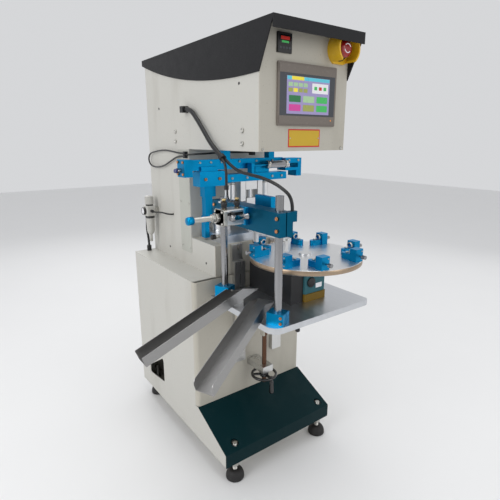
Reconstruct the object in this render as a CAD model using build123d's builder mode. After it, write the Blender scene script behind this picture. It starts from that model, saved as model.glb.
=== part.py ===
from build123d import *
import os
from math import atan2, cos, radians, sin, tan

os.makedirs("parts", exist_ok=True)

# Two-pad printing machine with a rotary index table (carousel) and an unloader with two chutes.
# Millimetres. While it is drawn, x = 0 is the middle of the head, y = 0 its front face and
# z = 0 the floor; +X is the operator's right and +Y the back. The finished parts are moved so
# that the origin is the middle of the machine's footprint, on the floor.

# ---------------------------------------------------------------- driving dimensions
sheet = 3.0                    # body panels
head_width = 324.0
head_bottom = 1064.0
head_top = 1380.0              # underside of the hood
column_rear = 718.0
throat_rear = 390.0
deck_front = 233.0
deck_top = 758.0

hood_overhang = 56.5
hood_rear = column_rear + 19
hood_lip = 30.0
hood_corner_z = 1262.0
hood_mid = (322.0, 1272.0)
hood_rear_z = 1364.0

cabinet_left = -250.0
cabinet_right = 209.0
cabinet_front = 223.0
cabinet_bottom = 73.0
cabinet_top = 652.0
corner_radius = 12.0
corner_return = 20.0           # how far the front panel wraps round the corners
foot_front = 48.0              # front lip of the foot cover
foot_cover_high = 200.0        # where its slope meets the cabinet
foot_cover_low = 121.0         # where its slope meets the lip

foot_radius = 31.0
foot_height = 33.0
stud_radius = 8.0
stud_top = 134.0
foot_x = (cabinet_left + 50, cabinet_right - 31)
foot_y = (foot_front + 26, column_rear - 34)

plate_left = -202.0            # lifting table plate
plate_right = 187.0
plate_front = -120.0
plate_rear = 200.0
plate_top = 608.0
plate_thickness = 18.0
table_stroke = 50.0

disc_x = 44.0                  # index disc
disc_y = 27.0
disc_radius = 176.0
disc_top = 745.0
disc_thickness = 16.0
shaft_radius = 20.0
stations = 4
fixture_spacing = 141.0        # between the fixtures of a station, and between the pads
fixture_reach = 156.0          # disc centre to a fixture's outer face
fixture_width = 30.0
fixture_depth = 25.0
fixture_height = 38.0
fixture_foot = 31.0
fixture_foot_height = 18.0
thumb_screw = 22.0             # how far a nest's thumb screw stands out
nest_radius = 9.0

post_radius = 11.0
post_x = -162.0
post_front_y = -88.0
post_rear_y = 178.0
post_front_top = 958.0
post_rear_top = 926.0
clamp_length = 50.0
clamp_width = 41.0
clamp_height = 34.0
clamp_turn = 25.0              # degrees, so that the clamps stand square to the front chute
beam_width = 44.0
beam_bottom = 855.0
beam_top = 918.0
beam_end = 28.0                # from a post's axis to the beam's end

chute_width = 50.0             # inside
chute_wall = 1.5
chute_flange = 32.0
chute_slope = 21.5             # degrees
chute_taper = 50.0             # the flanges run out to nothing over this length
rear_chute_y = 104.0
front_chute_y = -34.0
front_chute_heading = 25.0     # degrees towards the operator

transfer_y = 44.0              # axis of the transfer cylinder
transfer_z = 893.0
transfer_stroke = 20.0
lifter_x = -100.0
lifter_thickness = 16.0
lifter_y = (24.0, 100.0)
lifter_z = (865.0, 937.0)
finger_bar_z = (820.0, 830.0)
finger_bar_y = (-50.0, 118.0)
finger_tip = 790.0
rod_radius = 4.0

pad_y = 275.0                  # pads over the printing plate
pad_tip = 828.0
pad_radius = 24.0
pad_height = 36.0
pad_stroke = 38.0
ram_radius = 14.0
ram_bottom = 876.0
ram_rod_radius = 5.0
carriage_depth = 46.0          # of the blocks on the carriage, along Y
bridge_z = (1017.0, 1034.0)
rail_bottom = 1001.0           # underside of the shuttle's rail, which is one piece with the bridge
rail_width = 14.0
slab_z = (960.0, 985.0)
rail_x = 92.0                  # carriage rails inside the head
rail_z = 1105.0
rail_radius = 7.0
cup_y = 340.0
cup_radius = 34.0
cup_height = 25.0
bed_top = 778.0
plate_etched = 8.0             # thickness of the printing plate

screw_x = -20.0                # lifting screw and handwheel
screw_y = 150.0
screw_radius = 8.0
wheel_radius = 47.5
wheel_z = 285.0
knee_bottom = 458.0

way_x = 82.0                   # the table's upright ways
way_width = 42.0
way_front = 207.0
way_top = 700.0
way_bottom = 330.0

regulator_out = 33.0           # the regulator's middle, out from the left side
regulator_y = column_rear - 43
regulator_z = 821.0

running = 0.3                  # clearance round anything that turns or slides
seat = 0.05                    # clearance round a seated shaft

# ---------------------------------------------------------------- derived places
half_head = head_width / 2
inner_head = half_head - sheet
regulator_x = -half_head - regulator_out
hood_top = head_top + sheet
cabinet_rear = column_rear
fixture_top = disc_top + fixture_height
disc_bottom = disc_top - disc_thickness
plate_bottom = plate_top - plate_thickness
beam_left = post_x - beam_width / 2
beam_right = post_x + beam_width / 2
pad_x = fixture_spacing / 2
carriage_y = (pad_y - carriage_depth / 2, pad_y + carriage_depth / 2)
carriage_stroke = pad_y - (disc_y + fixture_reach - fixture_depth / 2)
shuttle_stroke = disc_x         # takes the left pad from its plate to its fixture
cup_stroke = 60.0
finger_x = lifter_x + lifter_thickness / 2
posts = ((post_front_y, post_front_top), (post_rear_y, post_rear_top))

nodes = {}


def block(x, y, z, mode=Mode.ADD):
    """A box between two values on each axis, in the part being built."""
    with Locations(((x[0] + x[1]) / 2, (y[0] + y[1]) / 2, (z[0] + z[1]) / 2)):
        Box(x[1] - x[0], y[1] - y[0], z[1] - z[0], mode=mode)


def bar(start, direction, radius, length, mode=Mode.ADD):
    """A round bar that starts at a point and runs along a direction."""
    with Locations(Plane(origin=start, z_dir=direction)):
        Cylinder(radius, length, align=(Align.CENTER, Align.CENTER, Align.MIN), mode=mode)


def around(middle, width):
    """Two values, half the width to each side of a middle."""
    return (middle - width / 2, middle + width / 2)


def front_plane(y):
    """A drawing plane seen from the front, with X across and Z up."""
    return Plane(origin=(0, y, 0), x_dir=(1, 0, 0), z_dir=(0, -1, 0))


def hexagon(start, direction, across, length):
    """A hexagonal nut or screw head, measured across its flats."""
    with BuildPart() as piece:
        with BuildSketch(Plane(origin=start, z_dir=direction)):
            RegularPolygon(across / 2, 6, major_radius=False)
        extrude(amount=length)
    return piece.part


# ================================================================ body panels
air_hole = (530.0, 823.0)
air_hole_radius = 4.0
wire_hole = (392.0, 1190.0)
wire_hole_radius = 9.0
cover_y, cover_z = (391.0, 470.0), (699.0, 1063.0)
cover_thickness, cover_corner = 1.5, 10.0


def side_plate(x, cover_x, holes):
    """A C-shaped side sheet for head, column and deck, with the access cover on its outside."""
    with BuildPart() as plate:
        with BuildSketch(Plane.YZ.offset(x)):
            with BuildLine():
                Polyline(
                    (sheet, head_bottom), (sheet, head_top), (column_rear, head_top),
                    (column_rear, cabinet_top), (deck_front + sheet, cabinet_top),
                    (deck_front + sheet, deck_top), (throat_rear, deck_top),
                    (throat_rear, head_bottom), close=True,
                )
            make_face()
            for y, z, radius in holes:
                with Locations((y, z)):
                    Circle(radius, mode=Mode.SUBTRACT)
        extrude(amount=sheet)
        with BuildSketch(Plane.YZ.offset(cover_x)):
            with Locations((sum(cover_y) / 2, sum(cover_z) / 2)):
                RectangleRounded(cover_y[1] - cover_y[0], cover_z[1] - cover_z[0], cover_corner)
        extrude(amount=cover_thickness)
    return plate


nodes["left_side_plate"] = side_plate(
    -half_head, -half_head - cover_thickness, [(*wire_hole, wire_hole_radius), (*air_hole, air_hole_radius)])
nodes["right_side_plate"] = side_plate(inner_head, half_head, [])

touch_x, touch_z = 3.0, 1212.0
touch_width, touch_height, touch_bezel = 217.0, 161.0, 6.0
touch_body = (192.0, 40.0, 138.0)
counter_x, counter_z = -84.0, 1336.0
counter_side, counter_body, counter_bezel = 48.0, 44.0, 5.0
stop_x, stop_z = 118.0, 1341.0
stop_stem_radius = 9.0
cutout_clear = 0.5

with BuildPart() as head_front_panel:
    with BuildSketch(front_plane(0)):
        with Locations((0, (head_bottom + head_top) / 2)):
            Rectangle(head_width, head_top - head_bottom)
        with Locations((touch_x, touch_z)):
            Rectangle(touch_body[0] + 2 * cutout_clear, touch_body[2] + 2 * cutout_clear,
                      mode=Mode.SUBTRACT)
        with Locations((counter_x, counter_z)):
            Rectangle(counter_body + 2 * cutout_clear, counter_body + 2 * cutout_clear,
                      mode=Mode.SUBTRACT)
        with Locations((stop_x, stop_z)):
            Circle(stop_stem_radius + 2, mode=Mode.SUBTRACT)
    extrude(amount=-sheet)
nodes["head_front_panel"] = head_front_panel

hanger_width = 24.0
hanger_depth = 26.0
slot_clear = 5.0
slot_reach = hanger_depth / 2 + slot_clear
with BuildPart() as throat_liner:
    block((-inner_head, inner_head), (sheet, throat_rear), (head_bottom, head_bottom + sheet))
    block((-inner_head, inner_head), (throat_rear, throat_rear + sheet), (deck_top, head_bottom + sheet))
    for x in (-rail_x, rail_x):
        block(around(x, hanger_width + 2 * slot_clear),
              (pad_y - carriage_stroke - slot_reach, pad_y + slot_reach),
              (head_bottom - 1, head_bottom + sheet + 1), mode=Mode.SUBTRACT)
nodes["throat_liner"] = throat_liner

with BuildPart() as deck_cover:
    block((-half_head, half_head), (deck_front, deck_front + sheet), (cabinet_top, deck_top))
    block((-inner_head, inner_head), (deck_front + sheet, throat_rear), (deck_top - sheet, deck_top))
nodes["deck_cover"] = deck_cover

with BuildPart() as hood:
    outer = half_head + sheet
    block((-outer, outer), (-hood_overhang, hood_rear), (head_top, hood_top))
    block((-outer, outer), (-hood_overhang, sheet - hood_overhang), (hood_top - hood_lip, head_top))
    for x in (-outer, half_head):
        with BuildSketch(Plane.YZ.offset(x)):
            with BuildLine():
                Line((-hood_overhang, head_top), (0, hood_corner_z))
                ThreePointArc((0, hood_corner_z), hood_mid, (hood_rear, hood_rear_z))
                Polyline((hood_rear, hood_rear_z), (hood_rear, head_top), (-hood_overhang, head_top))
            make_face()
        extrude(amount=sheet)
nodes["hood"] = hood

# ================================================================ cabinet
side_front = cabinet_front + corner_return
vent_front, vent_rear = column_rear - 220, column_rear - 82
vent_outline = ((vent_rear, 139.0), (vent_front, 159.0), (vent_front, 265.0), (vent_rear, 174.0))


def cabinet_side(x, vent):
    """A cabinet side that reaches forward under the sloping foot cover."""
    with BuildPart() as side:
        with BuildSketch(Plane.YZ.offset(x)):
            with BuildLine():
                Polyline(
                    (cabinet_rear, cabinet_bottom), (cabinet_rear, cabinet_top),
                    (side_front, cabinet_top), (side_front, foot_cover_high - sheet),
                    (cabinet_front, foot_cover_high - sheet), (foot_front + sheet, foot_cover_low - sheet),
                    (foot_front + sheet, cabinet_bottom), close=True,
                )
            make_face()
            if vent:
                with BuildLine():
                    FilletPolyline(*vent_outline, radius=9, close=True)
                make_face(mode=Mode.SUBTRACT)
        extrude(amount=sheet)
    return side


nodes["cabinet_left_panel"] = cabinet_side(cabinet_left, True)
nodes["cabinet_right_panel"] = cabinet_side(cabinet_right - sheet, False)

with BuildPart() as cabinet_front_panel:
    width = cabinet_right - cabinet_left
    with BuildSketch(Plane.XY.offset(foot_cover_high)):
        with Locations(((cabinet_left + cabinet_right) / 2, side_front)):
            RectangleRounded(width, 2 * corner_return, corner_radius)
            RectangleRounded(width - 2 * sheet, 2 * (corner_return - sheet), corner_radius - sheet,
                             mode=Mode.SUBTRACT)
            with Locations((0, corner_return / 2)):
                Rectangle(width, corner_return, mode=Mode.SUBTRACT)
    extrude(amount=cabinet_top - foot_cover_high)
nodes["cabinet_front_panel"] = cabinet_front_panel

inside_x = (cabinet_left + sheet, cabinet_right - sheet)
with BuildPart() as cabinet_top_panel:
    block(inside_x, (cabinet_front + sheet, cabinet_rear), (cabinet_top - sheet, cabinet_top))
    block(inside_x, (cabinet_front, side_front - 1), (cabinet_top - sheet - 1, cabinet_top + 1),
          mode=Mode.SUBTRACT)
nodes["cabinet_top_panel"] = cabinet_top_panel

with BuildPart() as back_panels:
    block(inside_x, (cabinet_rear - sheet, cabinet_rear), (cabinet_bottom, cabinet_top - sheet))
    block((-inner_head, inner_head), (cabinet_rear - sheet, cabinet_rear), (cabinet_top, head_top))
nodes["back_panels"] = back_panels

base_thickness = 6.0
with BuildPart() as base_plate:
    block(inside_x, (foot_front + sheet, cabinet_rear - sheet),
          (cabinet_bottom, cabinet_bottom + base_thickness))
    for x in foot_x:
        for y in foot_y:
            bar((x, y, cabinet_bottom - 1), (0, 0, 1), stud_radius + seat, base_thickness + 2,
                mode=Mode.SUBTRACT)
nodes["base_plate"] = base_plate

with BuildPart() as foot_cover:
    with BuildSketch(Plane.YZ.offset(cabinet_left)):
        with BuildLine():
            Polyline(
                (cabinet_front, foot_cover_high), (foot_front, foot_cover_low),
                (foot_front, cabinet_bottom), (foot_front + sheet, cabinet_bottom),
                (foot_front + sheet, foot_cover_low - sheet), (cabinet_front, foot_cover_high - sheet),
                close=True,
            )
        make_face()
    extrude(amount=cabinet_right - cabinet_left)
    for x in foot_x:
        bar((x, foot_y[0], foot_cover_low - 2 * sheet), (0, 0, 1), stud_radius + 5, foot_cover_high,
            mode=Mode.SUBTRACT)
nodes["foot_cover"] = foot_cover

with BuildPart() as foot_pad:
    with BuildSketch(Plane.XZ):
        with BuildLine():
            Polyline((stud_radius + 6, foot_height), (0, foot_height), (0, 0), (foot_radius - 2, 0),
                     (foot_radius, foot_height / 6))
            ThreePointArc((foot_radius, foot_height / 6), (foot_radius * 0.78, foot_height * 0.7),
                          (stud_radius + 6, foot_height))
        make_face()
    revolve(axis=Axis.Z)
with BuildPart() as levelling_feet:
    with Locations([(x, y, 0) for x in foot_x for y in foot_y]):
        add(foot_pad.part)
    for x in foot_x:
        for y in foot_y:
            bar((x, y, foot_height), (0, 0, 1), stud_radius, stud_top - foot_height)
            add(hexagon((x, y, foot_height + 14), (0, 0, 1), 3 * stud_radius, 13))
nodes["levelling_feet"] = levelling_feet

# ================================================================ operator panel
with BuildPart() as touch_panel:
    block(around(touch_x, touch_width), (-touch_bezel, 0), around(touch_z, touch_height))
    fillet(touch_panel.edges().filter_by(Axis.Y), 4)
    block(around(touch_x, touch_body[0]), (0, touch_body[1]), around(touch_z, touch_body[2]))
nodes["touch_panel"] = touch_panel

with BuildPart() as batch_counter:
    block(around(counter_x, counter_side), (-counter_bezel, 0), around(counter_z, counter_side))
    block(around(counter_x, counter_body), (0, 60), around(counter_z, counter_body))
nodes["batch_counter"] = batch_counter

shroud_radius, shroud_wall, shroud_depth, shroud_base = 43.0, 5.0, 45.0, 6.0
stop_radius, stop_head, stop_travel = 23.5, 14.0, 4.0
with BuildPart() as stop_shroud:
    with BuildSketch(front_plane(0)):
        with Locations((stop_x, stop_z)):
            Circle(shroud_radius)
            with Locations((0, shroud_radius), (0, -shroud_radius)):
                Rectangle(2 * shroud_radius, shroud_radius - 33, mode=Mode.SUBTRACT)
            Circle(stop_stem_radius + running, mode=Mode.SUBTRACT)
    extrude(amount=shroud_base)
    with BuildSketch(front_plane(-shroud_base)):
        with Locations((stop_x, stop_z)):
            Circle(shroud_radius)
            Circle(shroud_radius - shroud_wall, mode=Mode.SUBTRACT)
            Rectangle(52, 2 * shroud_radius, mode=Mode.SUBTRACT)
    extrude(amount=shroud_depth - shroud_base)
    block(around(stop_x, 34), (sheet, 52), around(stop_z, 34))
    bar((stop_x, 0, stop_z), (0, 1, 0), stop_stem_radius + running, 40, mode=Mode.SUBTRACT)
nodes["stop_shroud"] = stop_shroud
with BuildPart() as stop_button:
    bar((stop_x, 8 - shroud_depth, stop_z), (0, 1, 0), stop_radius, stop_head)
    fillet(stop_button.edges().filter_by(GeomType.CIRCLE).group_by(Axis.Y)[0], 5)
    bar((stop_x, 8 - shroud_depth + stop_head, stop_z), (0, 1, 0), stop_stem_radius, 50)
nodes["stop_button"] = stop_button

# ================================================================ table, ways and lifting screw
bracket_z = (301.0, 325.0)     # bearing bracket of the lifting nut
bracket_side = 44.0
with BuildPart() as guide_ways:
    for x in (-way_x, way_x):
        block(around(x, way_width), (way_front, cabinet_front), (way_bottom, way_top))
        block(around(x, way_width), (cabinet_front, deck_front), (cabinet_top, deck_top - 2))
    block(around(screw_x, bracket_side), (screw_y - bracket_side / 2, cabinet_front), bracket_z)
    bar((screw_x, screw_y, bracket_z[0] - 1), (0, 0, 1), screw_radius + running,
        bracket_z[1] - bracket_z[0] + 2, mode=Mode.SUBTRACT)
nodes["guide_ways"] = guide_ways

rim_radius, hub_radius, hub_height = 5.0, 15.0, 12.0
pin_radius = 3.0
with BuildPart() as handwheel:
    with BuildSketch(Plane.XZ):
        with Locations((wheel_radius - rim_radius, 0)):
            Circle(rim_radius)
    revolve(axis=Axis.Z)
    with PolarLocations(0, 3, start_angle=30):
        with Locations((wheel_radius / 2, 0)):
            Box(wheel_radius - rim_radius - 1, 9, 5)
    Cylinder(hub_radius, hub_height)
    with Locations((0, 0, hub_height / 2)):
        Cone(hub_radius, hub_radius - 3, bracket_z[0] - running - wheel_z - hub_height / 2,
             align=(Align.CENTER, Align.CENTER, Align.MIN))
    Cylinder(screw_radius + running, 5 * hub_height, mode=Mode.SUBTRACT)
    with Locations((0, rim_radius - wheel_radius, 0)):
        Cylinder(pin_radius + running, 3 * rim_radius, mode=Mode.SUBTRACT)
handwheel.part.locate(Location((screw_x, screw_y, wheel_z)))
nodes["handwheel"] = handwheel

handle_length = 50.0
with BuildPart() as crank_handle:
    with Locations((screw_x, screw_y - wheel_radius + rim_radius, wheel_z)):
        Cylinder(pin_radius, 2 * rim_radius + 2)
        with Locations((0, 0, rim_radius + 1)):
            Cylinder(2 * pin_radius, 2, align=(Align.CENTER, Align.CENTER, Align.MIN))
        with Locations((0, 0, -rim_radius - 1 - handle_length)):
            Cone(3 * pin_radius, 2 * pin_radius, handle_length, align=(Align.CENTER, Align.CENTER, Align.MIN))
nodes["crank_handle"] = crank_handle

ring_radius, ring_bore, ring_width, ring_z = 10.0, 4.0, 9.0, 443.0
screw_bottom = 256.0
with BuildPart() as lift_screw:
    bar((screw_x, screw_y, screw_bottom), (0, 0, 1), screw_radius, ring_z - 6 - screw_bottom)
    bar((screw_x - ring_width / 2, screw_y, ring_z), (1, 0, 0), ring_radius, ring_width)
    bar((screw_x - ring_width, screw_y, ring_z), (1, 0, 0), ring_bore, 2 * ring_width, mode=Mode.SUBTRACT)
nodes["lift_screw"] = lift_screw

knee_half, knee_front, knee_web, knee_rib = 105.0, 20.0, 14.0, 8.0
ear_half = 12.0                # of the two ears that hold the ring's pin
knee_rear = way_front - running
web_front = knee_rear - knee_web
rib_bottom = plate_bottom - knee_rib
with BuildPart() as knee_bracket:
    block((-knee_half, knee_half), (web_front, knee_rear), (knee_bottom, plate_bottom))
    block((-knee_half, knee_half), (knee_front, web_front), (rib_bottom, plate_bottom))
    for x in (-knee_half, knee_half - knee_rib):
        with BuildSketch(Plane.YZ.offset(x)):
            with BuildLine():
                Polyline((web_front, knee_bottom), (web_front, rib_bottom), (knee_front, rib_bottom),
                         close=True)
            make_face()
        extrude(amount=knee_rib)
    ear_width = ear_half - ring_width / 2 - 1
    for x in (screw_x - ear_half, screw_x + ear_half - ear_width):
        block((x, x + ear_width), around(screw_y, 20), (ring_z - 5, rib_bottom))
    block(around(screw_x, 2 * ear_half), (screw_y + 10, web_front), (knee_bottom, knee_bottom + 12))
    bar((screw_x - 20, screw_y, ring_z), (1, 0, 0), ring_bore, 40, mode=Mode.SUBTRACT)
    bar((screw_x - ear_half - 2, screw_y, ring_z), (1, 0, 0), ring_bore - seat, 2 * ear_half + 4)
nodes["knee_bracket"] = knee_bracket

left_corner, right_corner = 35.0, 15.0     # radii of the plate's front corners
with BuildPart() as table_plate:
    block((plate_left, plate_right), (plate_front, plate_rear), (plate_bottom, plate_top))
    fillet(table_plate.edges().filter_by(Axis.Z).group_by(Axis.Y)[0].sort_by(Axis.X)[0], left_corner)
    fillet(table_plate.edges().filter_by(Axis.Z).group_by(Axis.Y)[0].sort_by(Axis.X)[-1], right_corner)
nodes["table_plate"] = table_plate

# ================================================================ index unit and disc
flange_x, flange_y, flange_height = (-1.0, 89.0), (-25.0, 79.0), 25.0
housing_top = 712.0
bearing_radius = 30.0
motor_x, motor_y, motor_top, motor_wall = (-50.0, -1.0), (-15.0, 196.0), 703.0, 2.0
motor_mid = sum(motor_x) / 2
motor_z, link_radius = 655.0, 12.0
bearing_depth = 59.0
with BuildPart() as index_unit:
    block(flange_x, flange_y, (plate_top, plate_top + flange_height))
    with Locations((disc_x, disc_y, plate_top + flange_height)):
        with GridLocations(76, 90, 2, 2):
            Hole(3.5, flange_height)
    block((flange_x[0], flange_x[1] - 2), (flange_y[0] + 2, flange_y[1] - 2),
          (plate_top + flange_height, housing_top))
    bar((disc_x - 20, flange_y[0] + 2, 670), (0, -1, 0), 15, 6)
    bar((disc_x, disc_y, housing_top - bearing_depth - 1), (0, 0, 1), shaft_radius + running,
        bearing_depth + 2, mode=Mode.SUBTRACT)
    block(around(motor_mid, 40), (0, 54), (plate_top, 680))
    bar((motor_mid, 54, motor_z), (0, 1, 0), 19, 120)
    bar((motor_mid + 20, disc_y, motor_z), (1, 0, 0), link_radius, motor_x[1] - motor_mid - 20)
nodes["index_unit"] = index_unit

with BuildPart() as index_shaft:
    bar((disc_x, disc_y, housing_top - bearing_depth), (0, 0, 1), shaft_radius,
        disc_top + 6 - housing_top + bearing_depth)
    bar((disc_x, disc_y, housing_top + running), (0, 0, 1), bearing_radius,
        disc_bottom - housing_top - running)
nodes["index_shaft"] = index_shaft

room_x = (motor_x[0] + motor_wall, motor_x[1] - motor_wall)
room_y = (motor_y[0] + motor_wall, motor_y[1] - motor_wall)
with BuildPart() as motor_cover:
    block(motor_x, motor_y, (plate_top, motor_top))
    block(room_x, room_y, (plate_top - 1, motor_top - motor_wall), mode=Mode.SUBTRACT)
    bar((motor_x[1] - 5, disc_y, motor_z), (1, 0, 0), link_radius + 1, 10, mode=Mode.SUBTRACT)
nodes["motor_cover"] = motor_cover

with BuildPart() as index_disc:
    bar((disc_x, disc_y, disc_bottom), (0, 0, 1), disc_radius, disc_thickness)
    bar((disc_x, disc_y, disc_bottom - 1), (0, 0, 1), shaft_radius + seat, disc_thickness + 2,
        mode=Mode.SUBTRACT)
nodes["index_disc"] = index_disc

nest_z = disc_top + fixture_height / 2 + 6
fixture_inner = fixture_reach - fixture_depth
nest_depth, thumb_depth, thumb_radius = 8.0, 12.0, 3.0
thumb_z = nest_z - 8
with BuildPart() as fixture:
    block((fixture_inner, fixture_reach), around(0, fixture_width), (disc_top, fixture_top))
    with BuildSketch(Plane.XY.offset(disc_top)):
        with Locations((fixture_inner - fixture_foot / 2, 0)):
            Rectangle(fixture_foot, 2 * nest_radius + 2)
        with Locations((fixture_inner - fixture_foot, 0)):
            Circle(nest_radius + 1)
    extrude(amount=fixture_foot_height)
    bar((fixture_inner - nest_depth, 0, nest_z), (1, 0, 0), nest_radius, nest_depth + 1)
    bar((fixture_inner - nest_depth - 1, 0, nest_z), (1, 0, 0), nest_radius - 3, 6, mode=Mode.SUBTRACT)
    bar((fixture_reach - thumb_depth, 0, thumb_z), (1, 0, 0), thumb_radius, thumb_depth + 1,
        mode=Mode.SUBTRACT)
station_places = [Location((disc_x, disc_y, 0), (0, 0, turn * 360 / stations)) for turn in range(stations)]
with BuildPart() as work_fixtures:
    with Locations(station_places):
        with Locations((0, -pad_x), (0, pad_x)):
            add(fixture.part)
nodes["work_fixtures"] = work_fixtures

with BuildPart() as thumb:
    bar((fixture_reach - thumb_depth + seat, 0, thumb_z), (1, 0, 0), thumb_radius - seat, thumb_screw)
    bar((fixture_reach + thumb_screw - thumb_depth, 0, thumb_z), (1, 0, 0), 2 * thumb_radius, thumb_depth)
with BuildPart() as nest_screws:
    with Locations(station_places):
        with Locations((0, -pad_x), (0, pad_x)):
            add(thumb.part)
nodes["nest_screws"] = nest_screws

# ================================================================ transfer posts, beam and chutes
with BuildPart() as transfer_posts:
    for y, top in posts:
        bar((post_x, y, plate_top), (0, 0, 1), post_radius, top - plate_top)
nodes["transfer_posts"] = transfer_posts

slit = 3.0
with BuildPart() as post_clamps:
    for y in (post_front_y, post_rear_y):
        with BuildSketch(Plane(origin=(post_x, y, plate_top))):
            Rectangle(clamp_width, clamp_length, rotation=clamp_turn)
            Circle(post_radius + seat, mode=Mode.SUBTRACT)
            with Locations(Location((0, 0), clamp_turn)):
                with Locations((0, -clamp_length / 4 - post_radius / 2)):
                    Rectangle(slit, clamp_length / 2, mode=Mode.SUBTRACT)
        extrude(amount=clamp_height)
nodes["post_clamps"] = post_clamps

guide_offset = 14.0            # the carriage's guide rods, each side of the cylinder's axis
transfer_holes = ((-guide_offset, rod_radius), (0.0, rod_radius + 2), (guide_offset, rod_radius))
with BuildPart() as transfer_beam:
    block((beam_left, beam_right), (post_front_y - beam_end, post_rear_y + beam_end), (beam_bottom, beam_top))
    for y, side in ((post_front_y, -1), (post_rear_y, 1)):
        bar((post_x, y, beam_bottom - 1), (0, 0, 1), post_radius + seat, beam_top - beam_bottom + 2,
            mode=Mode.SUBTRACT)
        block(around(post_x, slit), tuple(sorted((y, y + side * (beam_end + 1)))),
              (beam_bottom - 1, beam_top + 1), mode=Mode.SUBTRACT)
    for offset, radius in transfer_holes:
        bar((beam_left - 1, transfer_y + offset, transfer_z), (1, 0, 0), radius + running,
            beam_width + 2, mode=Mode.SUBTRACT)
    block((beam_right, beam_right + 20), around(-101, 16), (beam_top - 28, beam_top))
nodes["transfer_beam"] = transfer_beam

cylinder_left = -262.0
cap_x = (-360.0, -341.0)
cap_radius, stop_rod_radius, nut_width = 11.0, 7.0, 13.0
cylinder_width, cylinder_height = 46.0, 44.0
fitting_x = (-246.0, -204.0)
fitting_height, collar = 30.0, 12.0
cylinder_top = transfer_z + cylinder_height / 2
fitting_port_y, fitting_port_z = 56.0, 930.0
with BuildPart() as transfer_cylinder:
    block((cylinder_left, beam_left), around(transfer_y, cylinder_width), around(transfer_z, cylinder_height))
    for offset, radius in transfer_holes:
        bar((cylinder_left - 1, transfer_y + offset, transfer_z), (1, 0, 0), radius + running,
            beam_left - cylinder_left + 2, mode=Mode.SUBTRACT)
    add(hexagon((cylinder_left, transfer_y, transfer_z), (-1, 0, 0), 22, nut_width))
    bar((cylinder_left - nut_width, transfer_y, transfer_z), (-1, 0, 0), stop_rod_radius,
        cylinder_left - nut_width - cap_x[1])
    bar((cap_x[1], transfer_y, transfer_z), (-1, 0, 0), cap_radius, cap_x[1] - cap_x[0])
    for x in fitting_x:
        bar((x, transfer_y, cylinder_top), (0, 0, 1), 8, fitting_height - collar)
        bar((x, transfer_y, cylinder_top + fitting_height - collar), (0, 0, 1), 5, collar)
        bar((x, transfer_y + 6, fitting_port_z), (0, 1, 0), 4, fitting_port_y - transfer_y - 6)
nodes["transfer_cylinder"] = transfer_cylinder

lift_rods_y = (lifter_y[1] - 12, lifter_y[1] - 36)
lift_rod_depth = 64.0
with BuildPart() as transfer_carriage:
    block((lifter_x, lifter_x + lifter_thickness), lifter_y, lifter_z)
    for offset, radius in transfer_holes:
        bar((cylinder_left + 10, transfer_y + offset, transfer_z), (1, 0, 0), radius,
            lifter_x - cylinder_left - 10)
    for y in lift_rods_y:
        bar((finger_x, y, lifter_z[0] - 1), (0, 0, 1), rod_radius + running, lift_rod_depth + 1,
            mode=Mode.SUBTRACT)
nodes["transfer_carriage"] = transfer_carriage

finger_stroke = lifter_z[0] - finger_bar_z[1] - 2
with BuildPart() as finger_bar:
    block(around(finger_x, 12), finger_bar_y, finger_bar_z)
    for y in lift_rods_y:
        bar((finger_x, y, finger_bar_z[1]), (0, 0, 1), rod_radius, lifter_z[0] + 28 - finger_bar_z[1])
    for y, width in ((disc_y - pad_x, 13), (disc_y + pad_x + 3, 6), (disc_y + pad_x + 14, 6)):
        block(around(finger_x, 8), around(y, width), (finger_tip, finger_bar_z[0]))
nodes["finger_bar"] = finger_bar


wedge, wedge_half = (12.0, 50.0), 15.0      # the wedge's ends, in from the table's edge, and half its width


def chute(y, heading, lower, upper, skew, lower_round):
    """A sheet U that slopes away over the table's left edge, and the wedge it stands on.

    It reaches lower and upper beyond that edge, and skew slants its upper end.
    """
    slope = radians(chute_slope)
    turn = radians(heading)
    half = chute_width / 2 + chute_wall
    ahead = Vector(-cos(turn), -sin(turn), 0)
    downhill = Vector(ahead.X * cos(slope), ahead.Y * cos(slope), -sin(slope))
    upward = Vector(ahead.X * sin(slope), ahead.Y * sin(slope), cos(slope))
    lift = half * sin(abs(turn)) * tan(slope) / cos(turn) + running
    start = Vector(plate_left, y, plate_top + lift)
    floor = Plane(origin=start, x_dir=downhill, z_dir=upward)
    with BuildPart() as piece:
        with BuildSketch(floor):
            with BuildLine():
                Polyline((-upper - skew, half), (skew - upper, -half), (lower, -half), (lower, half),
                         close=True)
            make_face()
        extrude(amount=chute_wall)
        for edge, first in ((half, -upper - skew), (chute_wall - half, skew - upper)):
            corner = floor.from_local_coords(Vector(0, edge, 0))
            wall = Plane(origin=corner, x_dir=downhill, z_dir=-floor.y_dir)
            with BuildSketch(wall):
                with BuildLine():
                    Polyline((lower, chute_flange - lower_round), (lower, 0), (first, 0),
                             (first + chute_taper, chute_flange), (lower - lower_round, chute_flange))
                    RadiusArc((lower - lower_round, chute_flange), (lower, chute_flange - lower_round),
                              lower_round)
                make_face()
            extrude(amount=chute_wall)
        with BuildSketch(Plane(origin=start, x_dir=-ahead, z_dir=Vector(-ahead.Y, ahead.X, 0))):
            with BuildLine():
                Polyline((wedge[0], -lift), (wedge[1], -lift), (wedge[1], wedge[1] * tan(slope)),
                         (wedge[0], wedge[0] * tan(slope)), close=True)
            make_face()
        extrude(amount=wedge_half, both=True)
    return piece


nodes["rear_chute"] = chute(rear_chute_y, -1.0, 296.0, 89.0, 17.0, 2.0)
nodes["front_chute"] = chute(front_chute_y, front_chute_heading, 263.0, 78.0, 0.0, 15.0)

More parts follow.
